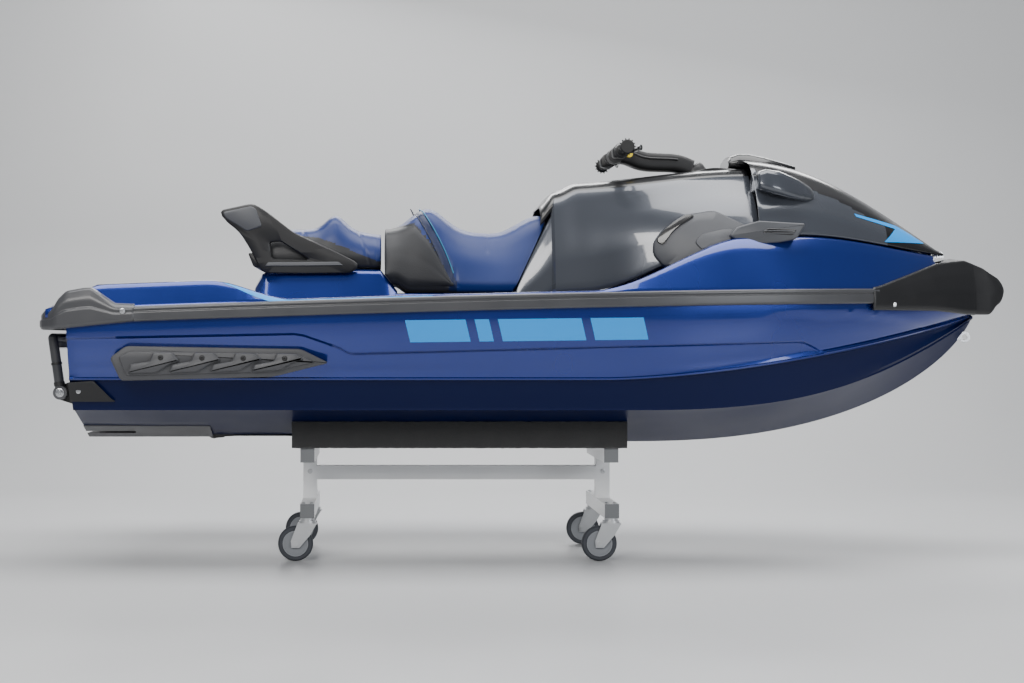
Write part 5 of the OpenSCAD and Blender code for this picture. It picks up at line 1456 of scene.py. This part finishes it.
def build_passenger_seat():
    """Rear seat: a crowned cushion whose sides pull in, with a hump, side panels and channels."""
    xs = np.linspace(-983, -557, 110)
    z1 = pax_top(xs)
    f = REAR_Z + 4 + 0 * xs
    sq = 1 - 0.05 * (1 - ramp(xs, -983, -950)) - 0.05 * ramp(xs, -580, -557)
    keys = corners(xs, (0, z1), (84 * sq, z1 - 3), (140 * sq, z1 - 16), (170 * sq, lerp(f, z1, 0.6)),
                   (181 * sq, f + 42), (172 * sq, f + 2), (120, f))
    half = rounded(keys, [0, 30, 40, 40, 26, 12, 0.0], 14)
    pts = at_x(xs, half)
    x, y, z = pts[..., 0], pts[..., 1], pts[..., 2]
    d = np.abs(x - (-845 + (z1[:, None] - z) * 0.55))
    d2 = np.abs(x - (-640 + (z1[:, None] - z) * 0.35))
    sink = 2.6 * np.exp(-(d / 5) ** 2) + 2.6 * np.exp(-(d2 / 5) ** 2)
    z = z - sink * (y < 150)
    y = y - sink * (y > 120)
    port = np.stack([x, np.maximum(y, 0), z], -1)
    full = np.concatenate([mirror_y(port[:, ::-1]), port[:, 1:]], 1)
    ob = grid("rear_cushion", full, wrap_v=True, caps=True, angle=60)
    wear(ob, "seat_blue", "seat_charcoal")
    region(ob, lambda x, y, z: (z < table(x, [(-990, 1180), (-900, 1160), (-790, 1150), (-700, 1120),
        (-640, 1090), (-560, 1060)])), 1)
    sub = ob.modifiers.new("round", "SUBSURF")
    sub.levels = sub.render_levels = 1
    return ob


def build_grab_handle():
    """The grab handle: two swept arms with a window each, a thick padded grip behind the seat."""
    x0, z0 = STERN_X + 594, REAR_Z
    outer = outline2d([(x0, z0 + 206), (x0 + 12, z0 + 176), (x0 + 70, z0 + 130), (x0 + 110, z0 + 66),
                       (x0 + 150, z0 - 16),
                       (x0 + 300, z0 - 18), (x0 + 470, z0 - 16), (x0 + 496, z0 + 18), (x0 + 400, z0 + 66),
                       (x0 + 262, z0 + 128), (x0 + 170, z0 + 200), (x0 + 120, z0 + 232)], 24, 6)
    win = outline2d([(x0 + 186, z0 + 34), (x0 + 318, z0 + 32), (x0 + 214, z0 + 98), (x0 + 176, z0 + 94)],
                    12, 6)
    parts = []
    for s in (1, -1):
        d, w = dense(outer, 160), dense(win, 160)
        c = w.mean(0)
        ring = ring_by_angle(d, c, 160)
        hole = ring_by_angle(w, c, 160)
        rows = []
        for f, y in ((0.0, 190), (-0.012, 192), (-0.012, 210), (0.015, 214), (0.06, 216), (0.5, 217),
                     (0.93, 216), (0.985, 213), (1.0, 208), (1.0, 192), (0.97, 189)):
            p = lerp(ring, hole, f)
            rows.append(np.column_stack([p[:, 0], np.full(len(p), s * y), p[:, 1]]))
        ob = grid("arm", np.stack(rows), wrap_u=True, wrap_v=True, angle=35)
        parts.append(wear(ob, "bumper_black"))
        rib = slab("arm_rib", outline2d([(x0 + 160, z0 + 8), (x0 + 330, z0 + 8), (x0 + 440, z0 + 10),
                                         (x0 + 420, z0 + 24), (x0 + 170, z0 + 22)], 5), s * 214, s * 220,
                                         2)
        parts.append(wear(rib, "grey_plastic"))
        cap = slab("arm_cap", outline2d([(x0 + 10, z0 + 200), (x0 + 20, z0 + 180), (x0 + 96, z0 + 132),
                                         (x0 + 150, z0 + 150), (x0 + 128, z0 + 212),
                                         (x0 + 112, z0 + 222)], 10), s * 211, s * 221, 4)
        parts.append(wear(cap, "grey_plastic"))
    ys = np.linspace(-192, 192, 31)
    o = outline2d([(x0 + 4, z0 + 206), (x0 + 14, z0 + 178), (x0 + 60, z0 + 152), (x0 + 116, z0 + 188),
                   (x0 + 110, z0 + 228)], 18, 6)
    g = 1 - 0.10 * np.cos(ys / 192 * np.pi / 2) ** 0.6
    grip = np.stack([np.column_stack([o[:, 0].mean() + (o[:, 0] - o[:, 0].mean()) * k,
                                      np.full(len(o), yy),
                                      o[:, 1].mean() + (o[:, 1] - o[:, 1].mean()) * k]) for k,
                                      yy in zip(g, ys)])
    parts.append(wear(grid("grip_bar", grip, wrap_v=True, caps=True, angle=45), "black_plastic"))
    low = outline2d([(x0 + 98, z0 + 56), (x0 + 118, z0 + 6), (x0 + 140, z0 + 6), (x0 + 140, z0 + 56)], 8)
    parts.append(wear(slab("cross_tie", low, -200, 200, 4), "black_plastic"))
    return join_styled("grab_rail", parts)


# ---------------------------------------------------------------- steering
BAR_C = np.array([300.0, 0, 1455])
COL_BASE = np.array([598.0, 0, float(con_z(598.0))])
COL_DIR = np.array([-math.sin(math.radians(38)), 0, math.cos(math.radians(38))])


def build_steering():
    """Handlebar: a collar on the column, a two-part riser with a side recess, the bar, lever
    blocks with levers and switches, and ribbed grips with a flared end."""
    parts = []
    collar = lathe("collar", COL_BASE, COL_DIR, [(-38, 15), (-8, 15), (-8, 43), (14, 44), (24, 40),
        (30, 30), (30, 0)], 48)
    parts.append(wear(collar, "black_plastic"))
    path = smooth_path([COL_BASE + COL_DIR * 26, COL_BASE + COL_DIR * 44 + [-50, 0, 4],
                        BAR_C + [110, 0, -18], BAR_C + [40, 0, 6], BAR_C + [-4, 0, 4]], 26)
    _, s, u = frames_along(path)
    wide = np.interp(np.linspace(0, 1, 26), [0, 0.3, 0.8, 1], [40, 44, 48, 50])
    tall = np.interp(np.linspace(0, 1, 26), [0, 0.3, 0.8, 1], [30, 33, 34, 28])
    a = np.linspace(0, 2 * np.pi, 40, endpoint=False)
    c, sn = np.cos(a), np.sin(a)
    sq = lambda v, e: np.sign(v) * np.abs(v) ** e
    pts = path[:, None] + (sq(c, 0.45) * wide[:, None])[..., None] * s[:,
        None] + (sq(sn, 0.55) * tall[:, None])[..., None] * u[:, None]
    parts.append(wear(grid("riser", pts, wrap_v=True, caps=True, angle=35), "black_plastic"))
    for sgn in (1, -1):
        rib = path[6:20] + [0, sgn * 45, 0] + u[6:20] * 10
        parts.append(wear(tube("riser_rib", rib, 4.5, 10), "black_gloss"))
    parts.append(wear(tube("bar", np.linspace(BAR_C - [0, 340, 0], BAR_C + [0, 340, 0], 12), 13, 24),
                      "steel"))
    parts.append(wear(lathe("clamp", BAR_C - [0, 46, 0], (0, 1, 0),
                            [(0, 20), (2, 27), (20, 29), (22, 27), (70, 27), (72, 29), (90, 27),
                             (92, 20)], 36), "black_plastic"))
    for sgn in (1, -1):
        g0 = BAR_C + [0, sgn * 220, 0]
        prof = [(0, 15), (2, 21), (6, 21), (8, 17)]
        for k in range(13):
            z = 12 + k * 8.2
            prof += [(z, 16.2), (z + 1.2, 17.2), (z + 4.6, 17.2), (z + 5.8, 16.2)]
        prof += [(120, 18), (124, 24), (130, 25), (134, 22), (134, 0)]
        parts.append(wear(lathe("grip", g0, (0, sgn, 0), prof, 36, angle=50), "grip_rubber"))
        fins = np.linspace(0, 2 * np.pi, 14, endpoint=False)
        for f in fins:
            d = np.array([math.cos(f), 0, math.sin(f)])
            base = BAR_C + [0, sgn * 345, 0] + d * 20
            parts.append(wear(tube("grip_fin", np.stack([base, base + d * 7,
                base + d * 9 - [0, sgn * 3, 0]]), [3.2, 2.6, 2.0], 6), "grip_rubber"))
        parts.append(wear(lathe("lever_block", BAR_C + [0, sgn * 172, 0], (0, sgn, 0),
                                [(0, 18), (2, 24), (10, 27), (30, 27), (40, 24), (44, 18)], 32),
                                "black_plastic"))
        parts.append(wear(slab("switch_box", outline2d([(272, 1432), (268, 1462), (286, 1484),
            (318, 1484), (330, 1462), (322, 1434)], 10), sgn * 150, sgn * 198, 5), "black_plastic"))
        lever = smooth_path([BAR_C + [24, sgn * 188, 2], BAR_C + [44, sgn * 206, 4],
                             BAR_C + [50, sgn * 250, 2], BAR_C + [46, sgn * 300, 0],
                             BAR_C + [52, sgn * 316, 0]], 22)
        parts.append(wear(tube("lever", lever, np.interp(np.linspace(0, 1, 22), [0, 0.2, 0.9, 1],
            [8, 6.5, 5.5, 7]), 12, flat=1.5), "black_gloss"))
        parts.append(wear(bolt("lever_pin", BAR_C + [26, sgn * 184, 12], (0, 0, 1), r=5, h=3), "steel"))
    parts.append(wear(lathe("lanyard_post", BAR_C + [44, -64, 2], (0, -1, 0),
                            [(0, 6), (1, 12), (10, 12), (12, 9), (18, 9), (19, 13), (23, 12), (23, 0)],
                            24), "lanyard_yellow"))
    return join_styled("steering_bar", parts)


# ---------------------------------------------------------------- cradle
TRESTLE_X, CASTER_Y, WHEEL_R = (-818.5, 254.5), 255.0, 62.5


def build_bunks():
    """Carpeted bunk pads: an eased box with a soft, uneven nap and closed ends."""
    parts = []
    for s in (1, -1):
        xs = np.linspace(-873, 309, 90)
        b0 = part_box("bunks")[0].z * 1000
        b1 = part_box("bunks")[1].z * 1000
        yi, yo = 151, 279
        zi = b1 - (yo - yi) * 0.318
        keys = corners(xs, (yi, b0 + 1), (yo, b0 + 1), (yo, b1 - 1), (yi, zi))
        sec = rounded(keys, [9, 9, 11, 9.0], 5, closed=True)
        rng = np.random.default_rng(5 + s)
        nap = rng.normal(0, 0.9, sec.shape)
        nap[..., 1] *= 0.6
        pts = at_x(xs, (sec + nap) * [s, 1])
        ob = grid("bunk", pts, wrap_v=True, caps=True, angle=70)
        parts.append(wear(ob, "bunk_carpet"))
    return join_styled("bunk_pads", parts)


CASTERS = [end + "_" + side for end in ("rear", "front") for side in ("port", "starboard")]


def build_wheels():
    """Caster wheels: a crowned tyre with a parting line, and a dished hub with six ribs a
    side, turned about its own axle."""
    out = []
    for name in CASTERS:
        node = "wheel_" + name
        lo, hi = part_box(node)
        c = np.array([(lo.x + hi.x) / 2, (lo.y + hi.y) / 2, (lo.z + hi.z) / 2]) * 1000
        w = (hi.y - lo.y) * 500
        r = WHEEL_R - 0.2
        tyre = lathe("tyre", c, (0, 1, 0), [(-w + 4, r * 0.72), (-w + 1, r * 0.76), (-w + 1, r * 0.9),
                                            (-w + 4, r * 0.965), (-w * 0.4, r * 0.995), (-0.8, r),
                                            (0, r - 0.5), (0.8, r), (w * 0.4, r * 0.995),
                                            (w - 4, r * 0.965), (w - 1, r * 0.9), (w - 1, r * 0.76),
                                            (w - 4, r * 0.72)], 64, angle=35)
        parts = [wear(tyre, "tyre_grey")]
        hub = lathe("hub", c, (0, 1, 0), [(-w + 2, r * 0.7), (-w + 0.5, r * 0.73), (-w + 0.5, r * 0.64),
                                          (-w + 6, r * 0.6), (-w + 7, r * 0.34), (-w + 1, r * 0.3),
                                          (-w, r * 0.2), (-w - 0.2, 0.1), (w + 0.2, 0.1), (w, r * 0.2),
                                          (w - 1, r * 0.3), (w - 7, r * 0.34), (w - 6, r * 0.6),
                                          (w - 0.5, r * 0.64), (w - 0.5, r * 0.73), (w - 2, r * 0.7)], 48,
                                          angle=30)
        parts.append(wear(hub, "hub_grey"))
        for k in range(6):
            a = k * math.pi / 3
            d = np.array([math.cos(a), 0, math.sin(a)])
            for sg in (1, -1):
                rib = np.stack([c + d * r * 0.3 + [0, sg * (w - 5), 0],
                                c + d * r * 0.62 + [0, sg * (w - 5), 0]])
                parts.append(wear(tube("rib", rib, 2.4, 8), "hub_grey"))
        ob = join_styled("roller_" + name, parts)
        out.append((ob, "roller_" + name, node))
    return out


def build_cradle_bolts():
    """Bolts of the cradle: trestle joints, adjuster screws, plate screws."""
    parts = []
    for tx in TRESTLE_X:
        for s in (1, -1):
            for dx in (-14, 14):
                parts.append(wear(bolt("plate_bolt", (tx + dx, s * CASTER_Y + 14, 203), (0, 0, 1), r=5.5,
                                       h=4, socket=False), "zinc"))
                parts.append(wear(bolt("plate_bolt", (tx + dx, s * CASTER_Y - 14, 203), (0, 0, 1), r=5.5,
                                       h=4, socket=False), "zinc"))
            parts.append(wear(bolt("post_bolt", (tx + s * 0, s * 25.5, 300), (0, s, 0), r=7, h=4),
                              "zinc"))
            parts.append(wear(bolt("bunk_bolt", (tx + 12, s * 180, 347), (0, 0, -1), r=6, h=4), "zinc"))
    return join_styled("cradle_bolts", parts)


# ---------------------------------------------------------------- stern fittings
STEP_PIVOT = np.array([-1659.5, 0, 600.0])


def build_step_trim():
    """Boarding step dressing: two rubber sleeves on each leg and a bolt at each pivot."""
    parts = []
    lean = math.radians(8)
    up = np.array([-math.sin(lean), 0, math.cos(lean)])
    for s in (1, -1):
        base = STEP_PIVOT + [0, s * 430, 0]
        parts.append(wear(lathe("sleeve", base + up * 96, up,
                                [(0, 16), (1, 18.6), (5, 19.2), (9, 18.6), (10, 16)], 32),
                                "black_plastic"))
        parts.append(wear(lathe("sleeve2", base + up * 22, up, [(0, 16), (2, 19.2), (14, 19.2), (17, 16)],
                                32), "black_plastic"))
        parts.append(wear(bolt("pivot_bolt", base + [0, s * 19, 0], (0, s, 0), r=11, h=5), "steel"))
    return join_styled("step_trim", parts)


def build_corner_caps():
    """Black guards on the hull's lower stern corners, wrapped round the shell."""
    parts = []
    for s in (1, -1):
        xs = np.linspace(-1622, -1470, 26)
        v = np.linspace(0, 1, 14)
        hi = table(xs, [(-1622, 636), (-1535, 642), (-1480, 580), (-1468, 572)])
        z = lerp(570.0, hi[:, None], v[None])
        y = np.where(z > chine_z(xs)[:, None] - 4, topside(xs[:, None], z), 0)
        low_y = lerp(strake_w(xs)[:, None] + 18, chine_w(xs)[:, None] + 4,
                     np.clip((z - strake_z(xs)[:, None]) / np.maximum(chine_z(xs) - strake_z(xs), 1)[:,
                         None], 0, 1))
        y = np.maximum(np.where(z > chine_z(xs)[:, None] - 4, y, 0), low_y) + 5
        outer = np.stack([np.broadcast_to(xs[:, None], z.shape), y, z], -1)
        inner = outer.copy()
        inner[..., 1] -= 16
        loop = np.concatenate([outer, inner[:, ::-1]], 1) * [1, s, 1]
        parts.append(wear(grid("corner_guard", loop, wrap_v=True, caps=True, angle=35), "bumper_black"))
        parts.append(wear(bolt("corner_bolt", (-1590, s * (y[5, 7] + 0.5), 606), (0, s, 0), r=6, h=3),
                          "steel"))
    return join_styled("corner_guards", parts)


def build_mats():
    """Foam deck mats with diagonal grooves: raised ribs laid along the floors."""
    parts = []
    xs = np.linspace(-780, 300, 110)
    for s in (1, -1):
        v = np.linspace(0, 1, 44)
        y = lerp(PEDESTAL_Y + 27, well_out(xs)[:, None] - 27, v[None])
        z = floor_z(xs)[:, None] + 0 * y
        g = np.mod((xs[:, None] + (y - 300) * 0.8) / 26, 1)
        edge = np.minimum(np.minimum(v, 1 - v)[None] * 20,
                          1) * np.minimum(np.minimum((xs + 780) / 8, (300 - xs) / 8), 1)[:, None]
        up = 0.6 + 2.4 * ramp(np.abs(g - 0.5), 0.06, 0.14) * np.clip(edge, 0, 1)
        pts = np.stack([np.broadcast_to(xs[:, None], y.shape), s * y, z + up], -1)
        parts.append(wear(grid("mat", pts, flip=s < 0, outward=False, angle=60), "mat_rubber"))
    x = np.linspace(-1590, -1075, 100)
    y = np.linspace(-330, 330, 120)
    X, Y = np.meshgrid(x, y, indexing="ij")
    g = np.mod((np.abs(Y) + X * 0.9) / 30, 1)
    ring = np.minimum(np.hypot(X + 1330, Y - 210), np.hypot(X + 1330, Y + 210))
    up = 0.8 + 2.4 * ramp(np.abs(g - 0.5), 0.05, 0.12) * ramp(ring, 34, 40)
    pts = np.stack([X, Y, PLATFORM_Z + up], -1)
    mid = face_middles(pts)
    hole = np.minimum(np.hypot(mid[..., 0] + 1330, mid[..., 1] - 210),
                      np.hypot(mid[..., 0] + 1330, mid[..., 1] + 210)) < 31
    parts.append(wear(grid("mat_aft", pts, keep=~hole, outward=False, angle=60), "mat_rubber"))
    return finish_edges(join_styled("floor_mats", parts), thick=1.5, weighted=False)


def build_hull_marks():
    """Plain cyan bars on the flanks, 74 mm deep, along one gently rising line."""
    top = lambda x: 846 + 0.012 * (x + 560)
    depth = lambda x: 74 + 0 * x
    spans = [(-470, -268), (-238, -190), (-160, 120), (150, 330)]
    parts = []
    for i, (a, b) in enumerate(spans):
        parts.append(side_stripe(f"bar{i}", top, depth, a, b, "accent_cyan", surface=topside, n=14))
    return join_styled("flank_bars", parts)


def build_deck_stripe():
    """Cyan accent stripe: it rises along the rear deck's shoulder, then falls forward to the rail."""
    pairs_top = [(-1085, 992), (-1000, 1010), (-770, 1028), (-720, 1022), (-600, 985), (-470, 955),
                 (-380, 950)]
    thick = [(-1085, 3), (-1000, 14), (-760, 22), (-600, 18), (-470, 14), (-380, 10)]
    def surf(x, z):
        return shell_out(x, np.minimum(z, gun_z(x) - 1))
    return side_stripe("rear_stripe", lambda x: np.minimum(curve(x, pairs_top, 20), gun_z(x) - 4),
                       lambda x: curve(x, thick, 20), -1085, -380, "accent_cyan", surface=surf, n=70)


# ---------------------------------------------------------------- put everything in place
put(build_hull(), "craft", ("hull",))
put(build_transom(), "craft", ("hull",))
put(build_intake(), "craft")
put(build_deck(), "craft", ("deck",))
put(build_seat_base(), "craft", ("deck",))
put(build_rails(), "craft", ("rub_rails",))
put(join_styled("bow_guard_set", build_bow_bumper()), "craft", ("bow_bumper",))
put(join_styled("stern_guard_set", build_stern_bumper()), "craft", ("stern_bumper",))
put(build_sponsons(), "craft", ("sponsons",))
put(build_corner_caps(), "craft", ("stern_corner_caps",))
put(build_mats(), "craft", ("deck_mats",))
put(build_hull_marks(), "craft")
put(build_deck_stripe(), "craft")
put(build_side_panels(), "craft", ("side_panels",))
put(build_console_top(), "craft", ("console_top",))
liner, lid = build_glove_box()
put(liner, "craft")
put(lid, "glove_lid")
put(build_intakes(), "craft", ("side_intakes",))
put(build_vent(), "craft")
put(build_hood(), "hood", ("front_lid",))
put(build_hood_graphics(), "hood")
put(build_binnacle(), "hood", ("gauge_pod",))
put(build_mirrors(), "hood", ("mirrors",))
saddle = build_driver_seat()
put(saddle, "craft", ("driver_seat",))
pads = build_knee_pads()
put(pads, "craft", ("knee_pads",))
rear = build_passenger_seat()
put(rear, "craft", ("passenger_seat",))
put(seam_trim("seam_fore", lambda z: seam_x(z, -420, -286), 1010, 1262, "thread_teal"), "craft")
put(seam_trim("seam_aft", lambda z: seam_x(z, -452, -318), 1030, 1262, "thread_dark"), "craft")
put(build_grab_handle(), "craft", ("grab_handle",))
put(build_steering(), "steering", ("handlebar", "grips", "control_levers"))
put(build_bunks(), "craft", ("bunks",))
put(build_cradle_bolts(), "craft")
put(build_step_trim(), "step")
for piece, body, node in build_wheels():
    put(piece, body, (node,))

CAD_FINISH = {
    "ride_plate": "sponson_grey", "intake_grate": "steel", "pump_housing": "pump_metal",
    "impeller": "steel",
    "steering_nozzle": "pump_metal", "reverse_bucket": "sponson_grey", "step_brackets": "black_plastic",
    "boarding_step": "rail_grey", "storage_bin": "black_plastic", "glovebox_lid": "black_gloss",
    "lid_hinge_pins": "steel", "hood_hinge_pin": "steel", "cargo_sockets": "black_plastic",
    "engine_block": "engine_grey", "bow_eye": "steel", "stern_eyes": "steel",
    "cradle_spine": "cradle_white",
    "cradle_feet": "cradle_white", "cradle_crossbars": "cradle_white", "end_caps": "cap_grey",
}
for node_name, node_ob in NODES.items():
    finish_name = CAD_FINISH.get(node_name, "zinc" if node_name.startswith("fork_") else "black_plastic")
    node_ob.data.materials.clear()
    node_ob.data.materials.append(M[finish_name])

# ---------------------------------------------------------------- studio
def build_floor():
    """A level floor that curves up into a back wall, as one swept sheet. It is clear from
    behind, so that it hides nothing."""
    a = np.linspace(0, np.pi / 2, 16)
    prof = np.concatenate([[[-9000, 0]], [[2600, 0]],
                           np.column_stack([2600 + 1400 * np.sin(a), 1400 - 1400 * np.cos(a)]),
                           [[4000, 7000]]])
    xs = np.array([-16000.0, 16000.0])
    pts = np.stack([np.column_stack([np.full(len(prof), x), prof]) for x in xs])
    ob = grid("floor", pts, outward=False, angle=180)
    f = Finish("floor_pale", cloud=0.8, speck=40.0)
    f.paint(f.vary((0.56, 0.565, 0.57), 0.05)).rough(0.32, 0.46)
    f.bump(f.p.outputs["Speck"], 0.03, 0.002)
    back = f.t.nodes.new("ShaderNodeNewGeometry").outputs["Backfacing"]
    f.t.links.new(math_node(f.t, "SUBTRACT", 1.0, back), f.bsdf.inputs["Alpha"])
    ob.data.materials.append(f.mat)
    return ob


build_floor()


def area_light(name, loc, size, power, target, colour=(1, 1, 1), size_y=None):
    """A rectangular lamp aimed at a point."""
    d = bpy.data.lights.new(name, "AREA")
    d.shape, d.size, d.energy, d.color = "RECTANGLE", size, power, colour
    d.size_y = size_y or size
    o = bpy.data.objects.new(name, d)
    o.location = loc
    v = np.array(target, float) - np.array(loc, float)
    yaw, pitch = math.atan2(v[1], v[0]), math.atan2(v[2], math.hypot(v[0], v[1]))
    o.rotation_euler = (math.pi / 2 + pitch, 0, yaw - math.pi / 2)
    bpy.context.scene.collection.objects.link(o)


area_light("overhead", (0, -0.6, 4.6), 6.5, 330, (0, 0, 0.8), size_y=2.6)
area_light("front_key", (-2.6, -6.0, 3.8), 3.2, 260, (0, 0, 0.8), (1.0, 0.98, 0.95), size_y=2.0)
area_light("front_fill", (4.2, -5.2, 2.2), 2.4, 120, (0.4, 0, 0.8), (0.93, 0.96, 1.0))
area_light("back_rim", (0.5, 3.2, 3.6), 5.0, 160, (0, 0, 0.9), size_y=1.2)
world = bpy.data.worlds.new("studio")
world.use_nodes = True
sky = world.node_tree.nodes["Background"]
sky.inputs["Color"].default_value = (0.62, 0.65, 0.70, 1)
sky.inputs["Strength"].default_value = 0.34
bpy.context.scene.world = world
